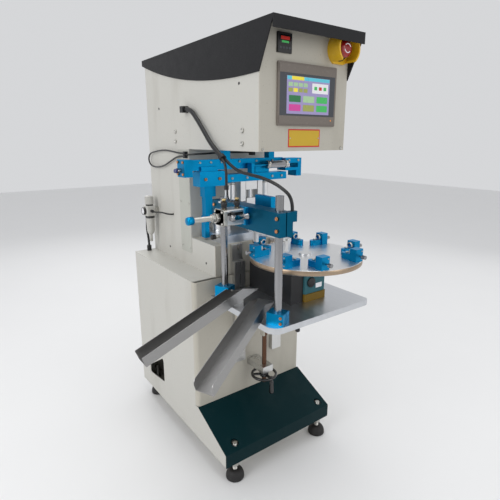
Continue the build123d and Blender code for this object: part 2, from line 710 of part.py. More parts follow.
# ================================================================ printing mechanism
etched_top = bed_top + plate_etched
bed_half, bed_rail = 126.0, 6.0
bed_y = (deck_front + 8, throat_rear - 4)
etched_half = bed_half - bed_rail - 1
with BuildPart() as plate_bed:
    block((-bed_half, bed_half), bed_y, (deck_top, bed_top))
    for x in (-bed_half, bed_half - bed_rail):
        block((x, x + bed_rail), bed_y, (bed_top, etched_top))
    block((-etched_half, etched_half), (bed_y[0], bed_y[1] - 1), (bed_top, etched_top))
nodes["plate_bed"] = plate_bed

cup_top, cup_neck = etched_top + running + cup_height, 8.0
with BuildPart() as ink_cups:
    for x in (-pad_x, pad_x):
        bar((x, cup_y, etched_top + running), (0, 0, 1), cup_radius, cup_height)
        bar((x, cup_y, cup_top), (0, 0, 1), cup_radius / 2, cup_neck)
    fillet(ink_cups.edges().filter_by(GeomType.CIRCLE).filter_by(
        lambda edge: edge.radius == cup_radius).group_by(Axis.Z)[-1], 3)
nodes["ink_cups"] = ink_cups

cup_bar_z = (cup_top + cup_neck, cup_top + cup_neck + 22)
hanger_half = bed_half + 17
hanger_y = around(cup_y, 24)
upright_x, clamp_z = (-139.0, -111.0), (907.0, 942.0)
with BuildPart() as cup_hanger:
    block((-hanger_half, hanger_half), hanger_y, cup_bar_z)
    for outer, inner in ((-hanger_half, -bed_half - running), (bed_half + running, hanger_half)):
        block((outer, inner), hanger_y, (bed_top - 12, cup_bar_z[0]))
    block(upright_x, hanger_y, (cup_bar_z[1], clamp_z[1]))
    block((-hanger_half, upright_x[1] + 12), around(cup_y, 30), clamp_z)
nodes["cup_hanger"] = cup_hanger

drive_front, rail_length, drive_length = 60.0, 360.0, 334.0
rail_block, drive_block = 36.0, 44.0
floor_top = head_bottom + sheet
with BuildPart() as carriage_drive:
    for x in (-rail_x, rail_x):
        bar((x, drive_front, rail_z), (0, 1, 0), rail_radius, rail_length)
        for y in (drive_front, drive_front + rail_length - 16):
            block(around(x, rail_block), (y, y + 16), (floor_top, rail_z + rail_block / 2))
    bar((0, drive_front + 10, rail_z), (0, 1, 0), 16, drive_length - 14)
    for y in (drive_front, drive_front + drive_length - 14):
        block(around(0, drive_block), (y, y + 14), (floor_top, rail_z + drive_block / 2))
nodes["carriage_drive"] = carriage_drive

slider_side, slider_length = 36.0, 50.0
end_block_x = (-253.0, -225.0)
yoke_x = (148.0, 224.0)
end_block_z = (983.0, 1036.0)
yoke_z = (967.0, 1031.0)
with BuildPart() as carriage_bridge:
    block((end_block_x[1], yoke_x[0]), around(pad_y, rail_width), (rail_bottom, bridge_z[1]))
    block(end_block_x, carriage_y, end_block_z)
    block(yoke_x, carriage_y, yoke_z)
    block((yoke_x[0] - 1, yoke_x[1] - 16), carriage_y, (998, 1014), mode=Mode.SUBTRACT)
    block((yoke_x[0] - 1, 200), carriage_y, (yoke_z[0] - 1, slab_z[1] + 3), mode=Mode.SUBTRACT)
    for x in (-rail_x, rail_x):
        block(around(x, hanger_width), around(pad_y, hanger_depth), (bridge_z[1], rail_z - slider_side / 2))
        block(around(x, slider_side), around(pad_y, slider_length), around(rail_z, slider_side))
        bar((x, pad_y - slider_length, rail_z), (0, 1, 0), rail_radius + running, 2 * slider_length,
            mode=Mode.SUBTRACT)
nodes["carriage_bridge"] = carriage_bridge

actuator_y, actuator_z, actuator_radius = pad_y - 29.0, 1012.0, 12.5
actuator_left, absorber_z, absorber_length = 56.0, 1003.0, 14.0
with BuildPart() as shuttle_cylinder:
    bar((actuator_left, actuator_y, actuator_z), (1, 0, 0), actuator_radius, yoke_x[0] - actuator_left)
    bar((actuator_left - 1, actuator_y, actuator_z), (1, 0, 0), rod_radius + running,
        yoke_x[0] - actuator_left, mode=Mode.SUBTRACT)
    bar((end_block_x[0], pad_y, absorber_z), (-1, 0, 0), 8, absorber_length)
    bar((end_block_x[0] - absorber_length, pad_y, absorber_z), (-1, 0, 0), 6, 8)
nodes["shuttle_cylinder"] = shuttle_cylinder

shoes = ((-190.0, -130.0, 998.0), (20.0, 80.0, slab_z[1]))     # left, right and bottom of each
slab_left, slab_right = -108.0, 153.0
with BuildPart() as shuttle_plate:
    block((-200, slab_left), carriage_y, (951, shoes[0][2]))
    block((slab_left, slab_right), carriage_y, slab_z)
    for left, right, bottom in shoes:
        block((left, right), around(pad_y, 30), (bottom, rail_bottom + 11))
        block((left - 1, right + 1), around(pad_y, rail_width + 2 * running),
              (rail_bottom - running, rail_bottom + 12), mode=Mode.SUBTRACT)
    block((-12, 0), (actuator_y - 9, carriage_y[0] + 9), (slab_z[1], actuator_z + 7))
    bar((0, actuator_y, actuator_z), (1, 0, 0), rod_radius, 70)
nodes["shuttle_plate"] = shuttle_plate

ram_bore = ram_rod_radius + running
ram_bore_depth = 70.0
with BuildPart() as ram_cylinders:
    for x in (-pad_x, pad_x):
        bar((x, pad_y, ram_bottom), (0, 0, 1), ram_radius, slab_z[0] - ram_bottom)
        bar((x, pad_y, ram_bottom - 1), (0, 0, 1), ram_bore, ram_bore_depth + 1, mode=Mode.SUBTRACT)
    for x in (-30, 42):
        block(around(x, 20), around(pad_y, 28), (892, slab_z[0]))
    block((-18, 30), around(pad_y, 26), (930, slab_z[0]))
    block((-14, 26), around(pad_y, 26), (854, 901))
    bar((6, pad_y, 901), (0, 0, 1), 9, 29)
nodes["ram_cylinders"] = ram_cylinders


def ram(x):
    """A print pad, domed below as part of a ball, on its holder and rod."""
    dome = 0.9 * pad_radius
    ball = (pad_radius ** 2 + dome ** 2) / (2 * dome)
    sweep_angle = atan2(pad_radius, ball - dome)
    with BuildPart() as piece:
        bar((x, pad_y, pad_tip + pad_height + 8), (0, 0, 1), ram_rod_radius, ram_bore_depth - 2)
        bar((x, pad_y, pad_tip + pad_height), (0, 0, 1), pad_radius - 4, 8)
        with BuildSketch(Plane(origin=(x, pad_y, 0), x_dir=(1, 0, 0), z_dir=(0, -1, 0))):
            with BuildLine():
                Polyline((0, pad_tip), (0, pad_tip + pad_height), (pad_radius, pad_tip + pad_height),
                         (pad_radius, pad_tip + dome))
                ThreePointArc((pad_radius, pad_tip + dome), (ball * sin(sweep_angle / 2),
                              pad_tip + ball - ball * cos(sweep_angle / 2)), (0, pad_tip))
            make_face()
        revolve(axis=Axis((x, pad_y, 0), (0, 0, 1)))
    return piece


nodes["left_ram"] = ram(-pad_x)
nodes["right_ram"] = ram(pad_x)

# ================================================================ services
with BuildPart() as control_unit:
    back = cabinet_rear - sheet
    block((-140, 100), (back - 12, back), (300, 480))
    block((-120, 40), (back - 90, back - 12), (330, 450))
    block((-75, 75), (back - 30, back), (500, 550))
    with Locations((0, back - 48, 525)):
        with GridLocations(25, 1, 6, 1):
            Box(20, 36, 44)
nodes["control_unit"] = control_unit

regulator_side = 40.0
regulator_half = regulator_side / 2
regulator_port = 34.0          # from the body's middle to its side ports
elbow_drop = 15.0
with BuildPart() as air_regulator:
    block(around(regulator_x, regulator_side), around(regulator_y, regulator_side), around(regulator_z, 42))
    block((regulator_x + regulator_half, -half_head), around(regulator_y, 30), around(regulator_z, 24))
    bar((regulator_x, regulator_y, regulator_z + 21), (0, 0, 1), 13, 4)
    with Locations((regulator_x, regulator_y, regulator_z - 21 - 75)):
        Cone(13, 18, 75, align=(Align.CENTER, Align.CENTER, Align.MIN))
    bar((regulator_x, regulator_y, 692), (0, 0, 1), 6, 34)
    bar((regulator_x, regulator_y - regulator_half, regulator_z), (0, -1, 0), 6,
        regulator_port - regulator_half)
    bar((regulator_x, regulator_y + regulator_half, regulator_z), (0, 1, 0), 8, 22)
    bar((regulator_x, regulator_y + regulator_port, regulator_z), (0, 0, -1), 7, elbow_drop)
    bar((regulator_x - regulator_half, regulator_y, regulator_z), (-1, 0, 0), 15, 10)
nodes["air_regulator"] = air_regulator

with BuildPart() as regulator_knob:
    bar((regulator_x, regulator_y, regulator_z + 25 + running), (0, 0, 1), 17, 33 - running)
nodes["regulator_knob"] = regulator_knob

gland_x, gland_y, gland_radius, gland_height = regulator_x - 2, column_rear - 20, 9.0, 22.0
clip_x, clip_y, clip_z = (-half_head - 14, -half_head - cover_thickness), (395.0, 407.0), (1034.0, 1056.0)
floor_fitting_x = (40.0, 54.0)
grommet = 22.0                 # how far the cable outlet stands out of the left side
sleeve_radius, sleeve_length = 10.5, 14.0
split = Vector(-176, 166, 1048)
split_way = Vector(0, -0.87, -0.5).normalized()
split_end = split + split_way * sleeve_length
second_split = Vector(-181, 131, 966)
with BuildPart() as cable_fittings:
    bar((gland_x, gland_y, cabinet_top), (0, 0, 1), gland_radius, gland_height)
    block((-half_head - grommet, -half_head), around(wire_hole[0], 20), around(wire_hole[1], 20))
    block(clip_x, clip_y, clip_z)
    block(floor_fitting_x, (306, 326), (1042, head_bottom))
    bar(split, split_way, sleeve_radius, sleeve_length)
    bar(second_split, (0, 0, -1), 6.8, 12)
nodes["cable_fittings"] = cable_fittings

# ================================================================ cords and hoses


def cord(name, diameter, *routes):
    """Round cords along straight runs joined by tangent arcs, one for each route."""
    with BuildPart() as piece:
        for route in routes:
            points = [Vector(*point) for point in route]
            radii = []
            for before, corner, after in zip(points, points[1:], points[2:]):
                arriving, leaving = corner - before, after - corner
                half_turn = radians(arriving.get_angle(leaving)) / 2
                radii.append(0.45 * min(arriving.length, leaving.length) / tan(half_turn))
            with BuildLine() as path:
                FilletPolyline(*points, radius=radii)
            with BuildSketch(Plane(origin=points[0], z_dir=points[1] - points[0])):
                Circle(diameter / 2)
            sweep(path=path.wires()[0])
            print(f"{name}: {diameter:g} across, {path.wires()[0].length:.0f} long, radii",
                  *(f"{radius:.0f}" for radius in radii))
    return piece


trunk_start = (-half_head - grommet / 2, wire_hole[0] - 10, wire_hole[1])
branch_start = split_end + Vector(5, 0, 0)
drop_start = split_end + Vector(-5, 0, 0)
cords = {
    "air_hose": cord("air_hose", 9.0, [
        (regulator_x, regulator_y + regulator_port, regulator_z - elbow_drop),
        (regulator_x, regulator_y + regulator_port, 776),
        (-199, 707, 739), (gland_x, gland_y, 702), (gland_x, gland_y, cabinet_top + gland_height),
    ]),
    "regulator_tube": cord("regulator_tube", 6.0, [
        (regulator_x, regulator_y - regulator_port, regulator_z), (regulator_x, 618, regulator_z),
        (-194, 586, 826), (-190, 560, 827), (-184, 542, 825), (-174, air_hole[0], air_hole[1]),
        (-161, air_hole[0], air_hole[1]),
    ]),
    "loom_trunk": cord("loom_trunk", 14.0, [
        trunk_start, (trunk_start[0], 352, trunk_start[2]), (-175, 308, 1160), (-177, 260, 1120),
        tuple(split - split_way * 56), tuple(split),
    ]),
    "loom_branch": cord("loom_branch", 9.0, [
        tuple(branch_start), tuple(branch_start + split_way * 34), (-170, 78, 1007), (-165, 24, 1002),
        (-156, -28, 994), (-143, -72, 976), (-130, -101, 950), (-130, -101, 918),
    ]),
    "loom_drop": cord("loom_drop", 8.0, [
        tuple(drop_start), tuple(drop_start + split_way * 16), (-181, 133, 1014), (-181, 131, 990),
        tuple(second_split),
    ]),
    "cylinder_tubes": cord("cylinder_tubes", 4.5, [
        (-178, 131, 954), (-178, 131, 941), (-183, 118, 928), (-196, 93, 925), (-204, 71, 930),
        (-204, 56, 930),
    ], [
        (-184, 131, 954), (-184, 131, 939), (-199, 112, 931), (-226, 92, 928), (-246, 74, 930),
        (-246, 56, 930),
    ]),
    "spare_loop": cord("spare_loop", 6.0, [
        (-171, 407, 1050), (-171, 450, 1050), (-172, 502, 1055), (-173, 556, 1058), (-173, 610, 1054),
        (-173, 650, 1049), (-173, 678, 1045), (-173, 697, 1036), (-173, 706, 1020), (-173, 698, 1005),
        (-173, 680, 996), (-172, 652, 992), (-172, 610, 994), (-171, 560, 1003), (-171, 508, 1022),
        (-171, 450, 1040), (-171, 407, 1040),
    ]),
    "head_hose": cord("head_hose", 6.0, [
        (-171, 395, 1046), (-171, 378, 1046), (-157, 356, 1048), (-128, 343, 1049), (-82, 338, 1052),
        (-34, 326, 1053), (4, 316, 1052), (40, 316, 1052),
    ]),
}
nodes.update(cords)

# ---------------------------------------------------------------- travels and writing the parts
travels = {
    "table down": table_stroke, "transfer": transfer_stroke, "finger lift": finger_stroke,
    "carriage forward": carriage_stroke, "shuttle": shuttle_stroke, "pads down": pad_stroke,
    "cups forward": cup_stroke, "stop button": stop_travel,
}
print("travels:", ", ".join(f"{name} {travel:g}" for name, travel in travels.items()))

solid_boxes = [piece.part.bounding_box() for name, piece in nodes.items() if name not in cords]
footprint_x = (min(box.min.X for box in solid_boxes) + max(box.max.X for box in solid_boxes)) / 2
footprint_y = (min(box.min.Y for box in solid_boxes) + max(box.max.Y for box in solid_boxes)) / 2
print(f"origin moved to x {footprint_x:.3f}, y {footprint_y:.3f}")
for name, piece in nodes.items():
    finished = piece.part.moved(Location((-footprint_x, -footprint_y, 0)))
    finished.label = name
    export_step(finished, f"parts/{name}.step")
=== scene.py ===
import math
import bpy
import bmesh
import numpy as np
from mathutils import Matrix, Vector


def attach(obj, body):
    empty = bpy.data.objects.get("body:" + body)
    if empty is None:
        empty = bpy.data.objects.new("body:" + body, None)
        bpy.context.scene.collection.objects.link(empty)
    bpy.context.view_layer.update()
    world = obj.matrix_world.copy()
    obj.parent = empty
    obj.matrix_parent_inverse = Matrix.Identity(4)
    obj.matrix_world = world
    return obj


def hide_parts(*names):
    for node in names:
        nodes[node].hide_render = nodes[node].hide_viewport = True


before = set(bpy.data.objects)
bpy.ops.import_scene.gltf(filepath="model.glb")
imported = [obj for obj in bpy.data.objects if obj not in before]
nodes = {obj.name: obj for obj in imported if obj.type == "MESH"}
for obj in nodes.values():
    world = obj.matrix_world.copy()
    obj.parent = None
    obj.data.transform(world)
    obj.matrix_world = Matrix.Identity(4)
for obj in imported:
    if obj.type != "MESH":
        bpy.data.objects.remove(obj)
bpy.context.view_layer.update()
print("frame loaded", len(nodes), "nodes")

# Where the drawing's own zero (middle of the head, its front face) lies in the frame, in metres.
zeroX, zeroY = 0.132478, -0.286247


def place(x, y, z):
    # millimetres from the head's front face to metres in the frame
    return (x / 1000 + zeroX, y / 1000 + zeroY, z / 1000)


# shader maths
class Wire:
    # one socket with arithmetic, so masks are written as expressions
    def __init__(self, tree, socket):
        self.tree, self.socket = tree, socket

    def math(self, operation, other=None, clamp=False):
        node = self.tree.nodes.new("ShaderNodeMath")
        node.operation, node.use_clamp = operation, clamp
        for index, value in enumerate((self, other)):
            if isinstance(value, Wire):
                self.tree.links.new(value.socket, node.inputs[index])
            elif value is not None:
                node.inputs[index].default_value = value
        return Wire(self.tree, node.outputs[0])

    def __add__(self, other):
        return self.math("ADD", other)

    def __sub__(self, other):
        return self.math("SUBTRACT", other)

    def __mul__(self, other):
        return self.math("MULTIPLY", other)

    def __truediv__(self, other):
        return self.math("DIVIDE", other)

    def __rsub__(self, other):
        return (self * -1.0) + other

    __radd__, __rmul__ = __add__, __mul__

    def above(self, edge, soft):
        # 0 below the edge, 1 above it, over a soft width
        return ((self - (edge - soft)) / (2 * soft)).math("ADD", 0.0, clamp=True)


class Finish:
    # one material: a principled shader and short ways to feed it
    def __init__(self, name):
        self.material = bpy.data.materials.new(name)
        self.material.use_nodes = True
        self.tree = self.material.node_tree
        self.shader = self.tree.nodes["Principled BSDF"]

    def node(self, kind, settings=None, **values):
        made = self.tree.nodes.new("ShaderNode" + kind)
        for key, value in (settings or {}).items():
            setattr(made, key, value)
        for key, value in values.items():
            socket = made.inputs[int(key[1:]) if key[0] == "i" and key[1:].isdigit() else key]
            self.feed(socket, value)
        return made

    def feed(self, socket, value):
        if isinstance(value, Wire):
            self.tree.links.new(value.socket, socket)
        elif isinstance(value, bpy.types.NodeSocket):
            self.tree.links.new(value, socket)
        elif isinstance(value, tuple) and len(value) == 3 and socket.type == "RGBA":
            socket.default_value = (*value, 1)
        else:
            socket.default_value = value

    def wire(self, socket):
        return Wire(self.tree, socket)

    def place(self, scale=(1, 1, 1), offset=(0, 0, 0)):
        spot = self.node("TexCoord").outputs["Object"]
        return self.node("Mapping", Vector=spot, Scale=scale, Location=offset).outputs[0]

    def noise(self, scale, detail=3.0, stretch=(1, 1, 1), rough=0.5):
        made = self.node("TexNoise", Vector=self.place(stretch), Scale=scale, Detail=detail, Roughness=rough)
        return self.wire(made.outputs[0])

    def mix(self, factor, first, second):
        made = self.node("Mix", {"data_type": "RGBA"}, i0=factor, i6=first, i7=second)
        return made.outputs[2]

    def bump(self, height, strength, distance):
        made = self.node("Bump", Strength=strength, Distance=distance, Height=height)
        self.feed(self.shader.inputs["Normal"], made.outputs[0])

    def set(self, **values):
        for key, value in values.items():
            self.feed(self.shader.inputs[key.replace("_", " ")], value)
        return self


def paint(name, colour, dirt, rough=0.45, grain=0.12, mottle=0.06, gloss=0.3):
    # powder coat: fine orange peel, faint mottling, a little grime
    made = Finish(name)
    patches = made.noise(6, 4).above(0.52, 0.25)
    specks = made.noise(260, 2).above(0.71, 0.02)
    smears = made.noise(9, 5, (1, 1, 0.25)).above(0.63, 0.08)
    tone = made.mix(patches * mottle * 6, colour, tuple(c * (1 - 1.3 * mottle) for c in colour))
    tone = made.mix(smears * 0.16, tone, dirt)
    tone = made.mix(specks * 0.35, tone, dirt)
    made.set(Base_Color=tone, Roughness=made.noise(14, 3) * 0.16 + (rough - 0.08), Specular_IOR_Level=gloss)
    made.bump(made.noise(900, 2), grain, 0.0004)
    return made.material


def metal(name, colour, rough, streak=(1, 1, 1), scale=60, depth=0.12, contrast=0.25, anisotropic=0.0):
    # bare metal with brushing along one way, and light handling marks
    made = Finish(name)
    brush = made.noise(scale, 5, streak, 0.6)
    cloud = made.noise(11, 4)
    dark = tuple(c * (1 - contrast) for c in colour)
    tone = made.mix(brush * 0.8 + cloud * 0.3, dark, colour)
    made.set(Base_Color=tone, Metallic=1.0, Roughness=brush * 0.22 + cloud * 0.1 + (rough - 0.16),
             Anisotropic=anisotropic)
    made.bump(brush, depth, 0.0003)
    return made.material


def anodised(name, colour, rough=0.34):
    # dyed aluminium: strong colour on a satin metal, faint mill lines and cloudy darker patches
    made = Finish(name)
    lines = made.noise(55, 5, (0.08, 1, 1), 0.55)
    cloud = made.noise(16, 3)
    tone = made.mix(cloud * 0.7 + lines * 0.2, tuple(c * 0.62 for c in colour), colour)
    made.set(Base_Color=tone, Metallic=0.85, Roughness=lines * 0.16 + (rough - 0.06),
             Specular_IOR_Level=0.15)
    made.bump(lines, 0.08, 0.0003)
    return made.material


def moulded(name, colour, rough=0.5, grain=0.1, coat=0.0):
    # moulded plastic or rubber with a fine texture
    made = Finish(name)
    cloud = made.noise(18, 3)
    dust = made.noise(120, 3).above(0.66, 0.05)
    tone = made.mix(cloud * 0.5, tuple(c * 0.8 for c in colour), colour)
    tone = made.mix(dust * 0.12, tone, tuple(min(1, c * 2 + 0.05) for c in colour))
    made.set(Base_Color=tone, Roughness=cloud * 0.14 + (rough - 0.07), Coat_Weight=coat)
    made.bump(made.noise(1200, 2), grain, 0.0003)
    return made.material


def wrinkle(name, colour):
    # black wrinkle enamel: small crisp ridges
    made = Finish(name)
    ridges = made.wire(made.node("TexVoronoi", {"feature": "SMOOTH_F1"}, Vector=made.place(), Scale=420.0,
                                 Smoothness=0.4).outputs[0])
    made.set(Base_Color=made.mix(ridges * 0.9, tuple(c * 2.2 for c in colour), colour),
             Roughness=made.noise(30, 3) * 0.15 + 0.42, Specular_IOR_Level=0.25)
    made.bump(ridges, 0.5, 0.0006)
    return made.material


looks = {
    "side": paint("cream side paint", (0.55, 0.54, 0.50), (0.22, 0.19, 0.14)),
    # the front paint is the cream side paint made darker and a little warmer; the darkening is painted shade
    # for faces turned from the key light on the left
    "front": paint("warm grey front paint with painted shade", (0.50, 0.475, 0.41), (0.16, 0.13, 0.09)),
    "cover": paint("access cover paint", (0.47, 0.475, 0.43), (0.2, 0.18, 0.14)),
    "hood": wrinkle("black wrinkle enamel", (0.006, 0.006, 0.007)),
    "foot": paint("dark teal paint", (0.002, 0.020, 0.024), (0.03, 0.05, 0.05), 0.4, 0.08,
                  0.1, 0.08),
    "blue": anodised("azure anodising", (0.002, 0.33, 0.68)),
    "deepBlue": anodised("beam anodising", (0.002, 0.13, 0.24)),
    "steel": metal("brushed plate steel", (0.70, 0.72, 0.75), 0.34, (1, 0.05, 1), 70),
    "way": metal("ground way steel", (0.72, 0.72, 0.71), 0.30, (1, 1, 0.05), 90),
    # the stainless (0.38) and the chrome (0.36) are given dark colours as painted reflection: the darkness
    # stands for dark surroundings mirrored in the bright metal
    "chute": metal("brushed stainless with painted dark reflection", (0.38, 0.375, 0.37), 0.33, (0.06, 0.6, 0.6), 130),
    "chrome": metal("hard chrome", (0.36, 0.36, 0.37), 0.20, (1, 1, 0.04), 80, 0.03, 0.1),
    "aluminium": metal("turned aluminium", (0.80, 0.80, 0.80), 0.36, (1, 1, 1), 40, 0.05, 0.12),
    "nickel": metal("nickel plate", (0.70, 0.68, 0.63), 0.3, (1, 1, 1), 60, 0.05, 0.25),
    "copper": metal("copper flashed screw", (0.60, 0.27, 0.13), 0.34, (1, 1, 1), 200, 0.1, 0.4),
    "brass": metal("brass", (0.66, 0.50, 0.24), 0.3, (1, 1, 1), 90, 0.05, 0.3),
    "zinc": metal("zinc plate", (0.60, 0.59, 0.55), 0.36, (1, 1, 1), 90, 0.05, 0.3),
    "brown": metal("browned screw steel", (0.16, 0.085, 0.055), 0.42, (1, 1, 0.3), 140, 0.3, 0.5),
    "teal": paint("teal housing paint", (0.035, 0.14, 0.165), (0.03, 0.08, 0.08), 0.4),
    "ochre": paint("ochre primer", (0.20, 0.12, 0.012), (0.16, 0.09, 0.01), 0.5),
    "black": moulded("black plastic", (0.013, 0.013, 0.014), 0.42),
    "gloss": moulded("glossy black", (0.010, 0.010, 0.011), 0.22, 0.03, 0.4),
    "rubber": moulded("foot rubber", (0.014, 0.013, 0.013), 0.62, 0.2),
    "yellow": moulded("shroud yellow", (0.84, 0.50, 0.015), 0.34, 0.05, 0.2),
    "red": moulded("mushroom red", (0.36, 0.012, 0.010), 0.30, 0.04, 0.3),
    "pale": moulded("pale plastic", (0.62, 0.61, 0.57), 0.4, 0.05),
    "bezel": moulded("panel bezel", (0.20, 0.17, 0.145), 0.45, 0.1),
    "slate": moulded("panel side slate", (0.055, 0.062, 0.075), 0.4, 0.05),
    "cable": moulded("cable jacket", (0.010, 0.010, 0.011), 0.34, 0.06),
    "whiteTube": moulded("clear white tube", (0.72, 0.74, 0.76), 0.25, 0.02, 0.3),
    "silicone": moulded("pad silicone", (0.50, 0.16, 0.12), 0.3, 0.02, 0.2),
}
print("finishes made", len(looks))

dress = {
    "side": "left_side_plate right_side_plate throat_liner back_panels cabinet_left_panel cabinet_right_panel "
            "cabinet_top_panel",
    # the parts under "front" take that darker paint, so their darkening is painted shade
    "front": "head_front_panel deck_cover cabinet_front_panel base_plate knee_bracket",
    "hood": "hood", "foot": "foot_cover",
    "blue": "carriage_bridge shuttle_plate cup_hanger transfer_carriage "
            "post_clamps work_fixtures", "deepBlue": "transfer_beam",
    "steel": "table_plate plate_bed", "way": "guide_ways carriage_drive", "chute": "rear_chute front_chute",
    "chrome": "transfer_posts nest_screws shuttle_cylinder",
    "aluminium": "index_disc index_shaft finger_bar ram_cylinders ink_cups transfer_cylinder",
    "brown": "lift_screw", "teal": "index_unit",
    "black": "motor_cover batch_counter cable_fittings crank_handle",
    "gloss": "handwheel", "rubber": "levelling_feet", "yellow": "stop_shroud", "red": "stop_button",
    "pale": "air_regulator regulator_knob control_unit", "bezel": "touch_panel",
    "silicone": "left_ram right_ram",
}
for look, names in dress.items():
    for name in names.split():
        nodes[name].data.materials.clear()
        nodes[name].data.materials.append(looks[look])


def toMesh(name, points, faces, look, body, smooth=True, bevel=0.0, replaces=()):
    mesh = bpy.data.meshes.new(name)
    mesh.from_pydata([tuple(p) for p in points], [], [tuple(int(i) for i in f) for f in faces])
    shape = bmesh.new()
    shape.from_mesh(mesh)
    bmesh.ops.remove_doubles(shape, verts=shape.verts, dist=1e-7)
    bmesh.ops.recalc_face_normals(shape, faces=shape.faces)
    shape.to_mesh(mesh)
    shape.free()
    piece = bpy.data.objects.new(name, mesh)
    bpy.context.scene.collection.objects.link(piece)
    mesh.materials.append(looks[look])
    mesh.polygons.foreach_set("use_smooth", [smooth] * len(mesh.polygons))
    if bevel:
        edge = piece.modifiers.new("edge", "BEVEL")
        edge.width, edge.segments, edge.limit_method, edge.angle_limit = bevel, 2, "ANGLE", math.radians(35)
        edge.harden_normals = True
    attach(piece, body)
    if replaces:
        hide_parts(*replaces)
    return piece


def gridFaces(rows, columns, closed):
    # quads between neighbouring rows of a grid; columns wrap round when closed
    row, column = np.meshgrid(np.arange(rows - 1), np.arange(columns if closed else columns - 1),
                              indexing="ij")
    after = (column + 1) % columns
    corners = (row * columns + column, row * columns + after, (row + 1) * columns + after,
               (row + 1) * columns + column)
    return np.stack(corners, -1).reshape(-1, 4)


def lathePoints(profile, around):
    # each profile point (radius, height) carried round the axis: (r cos a, r sin a, h)
    profile = np.asarray(profile, float)
    angle = np.linspace(0, 2 * math.pi, around, endpoint=False)
    radius, height = profile[:, 0][:, None], profile[:, 1][:, None]
    grid = np.stack((radius * np.cos(angle), radius * np.sin(angle), height + 0 * angle), -1)
    return grid.reshape(-1, 3)


def turned(name, centre, axis, profile, look, body, around=40, smooth=True, bevel=0.0,
           replaces=()):
    # a closed turned shape; the profile runs from axis to axis in millimetres along the given direction
    points = lathePoints(profile, around)
    turn = Vector(axis).normalized().to_track_quat("Z", "Y").to_matrix()
    points = points @ np.array(turn).T + np.array(centre)
    points = points / 1000 + np.array((zeroX, zeroY, 0))
    return toMesh(name, points, gridFaces(len(profile), around, True), look, body, smooth, bevel,
                  replaces)


def slabPoints(outline, low, high):
    outline = np.asarray(outline, float)
    count = len(outline)
    lower = np.column_stack((outline, np.full(count, float(low))))
    upper = np.column_stack((outline, np.full(count, float(high))))
    index = np.arange(count)
    sides = np.column_stack((index, (index + 1) % count, (index + 1) % count + count, index + count))
    return np.vstack((lower, upper)), [tuple(index[::-1]), tuple(index + count)] + [tuple(f) for f in sides]


axes = {"z": (0, 1, 2), "y": (0, 2, 1), "x": (2, 0, 1)}


def slab(name, outline, low, high, axis, look, body, bevel=0.0008, replaces=(), smooth=False):
    # an outline (two coordinates) carried along x, y or z between two values in millimetres
    points, faces = slabPoints(outline, low, high)
    points = points[:, axes[axis]]
    points = points / 1000 + np.array((zeroX, zeroY, 0))
    return toMesh(name, points, faces, look, body, smooth, bevel, replaces)


def roundedOutline(width, height, radius, middle=(0, 0), steps=6):
    # four quarter circles joined into one outline
    quarter = np.linspace(0, math.pi / 2, steps)
    corners = []
    for k, (sx, sy) in enumerate(((1, 1), (-1, 1), (-1, -1), (1, -1))):
        angle = quarter + k * math.pi / 2
        corners.append(np.column_stack((
            middle[0] + sx * (width / 2 - radius) + radius * np.cos(angle),
            middle[1] + sy * (height / 2 - radius) + radius * np.sin(angle))))
    return np.vstack(corners)


def socketScrew(name, centre, axis, look, body, radius=5.0, height=5.0):
    # a cap screw head with its hexagon recess, its face towards the given direction
    r, h = radius, height
    profile = [(0, 0), (r, 0), (r, h * 0.86), (r * 0.9, h), (r * 0.52, h), (r * 0.48, h * 0.45),
               (0, h * 0.45)]
    return turned(name, centre, axis, profile, look, body, 24)


print("tools ready")

# levelling feet
footSizes = {"dome": 31.0, "domeHeight": 33.0, "stud": 8.0, "studTop": 134.0, "nutAcross": 24.0}
footPlaces = [(x, y) for x in (-200.0, 178.0) for y in (74.0, 684.0)]


def threadProfile(radius, low, high, pitch=2.0, depth=0.7):
    # a saw-tooth outline: the radius swings by the depth once each pitch
    count = int((high - low) / pitch)
    heights = low + pitch * np.arange(2 * count + 1) / 2
    radii = radius - depth * (np.arange(2 * count + 1) % 2)
    return [(0, low)] + list(zip(radii, heights)) + [(0, heights[-1])]


def hexProfile(across):
    angle = np.arange(6) * math.pi / 3
    return np.column_stack((np.cos(angle), np.sin(angle))) * across / math.sqrt(3)


for index, (x, y) in enumerate(footPlaces):
    r, h = footSizes["dome"], footSizes["domeHeight"]
    bend = np.linspace(0, math.pi / 2, 10)
    dome = [(0, 0), (r - 3, 0), (r - 0.6, 1.4), (r, 5)]
    dome += [(13 + (r - 13) * math.cos(a), 5 + (h - 5) * math.sin(a)) for a in bend[1:]] + [(0, h)]
    turned(f"foot_dome_{index}", (x, y, 0), (0, 0, 1), dome, "rubber", "machine", 48,
           replaces=("levelling_feet",))
    turned(f"foot_stud_{index}", (x, y, 0), (0, 0, 1), threadProfile(footSizes["stud"], h,
            footSizes["studTop"]),
           "zinc", "machine", 24, smooth=False)
    slab(f"foot_nut_{index}", hexProfile(footSizes["nutAcross"]) + (x, y), h + 14, h + 27, "z", "zinc",
         "machine", 0.001)
print("feet done")

# operator panel
panel = {"x": 3.0, "z": 1212.0, "width": 215.0, "height": 159.0, "front": -6.0}


def flat(name, outline, look, depth=0.8, base=-6.0, body="machine", bevel=0.0003):
    # a thin raised field on a face that looks to the front
    return slab(name, outline, base - depth, base, "y", look, body, bevel)


def glow(name, colour, strength=0.35, rough=0.25):
    made = Finish(name)
    sweep = made.noise(22, 3)
    tone = made.mix(sweep * 0.4, colour, tuple(c * 0.85 for c in colour))
    made.set(Base_Color=tone, Emission_Color=tone, Roughness=sweep * 0.06 + rough)
    made.shader.inputs["Emission Strength"].default_value = strength
    return made.material


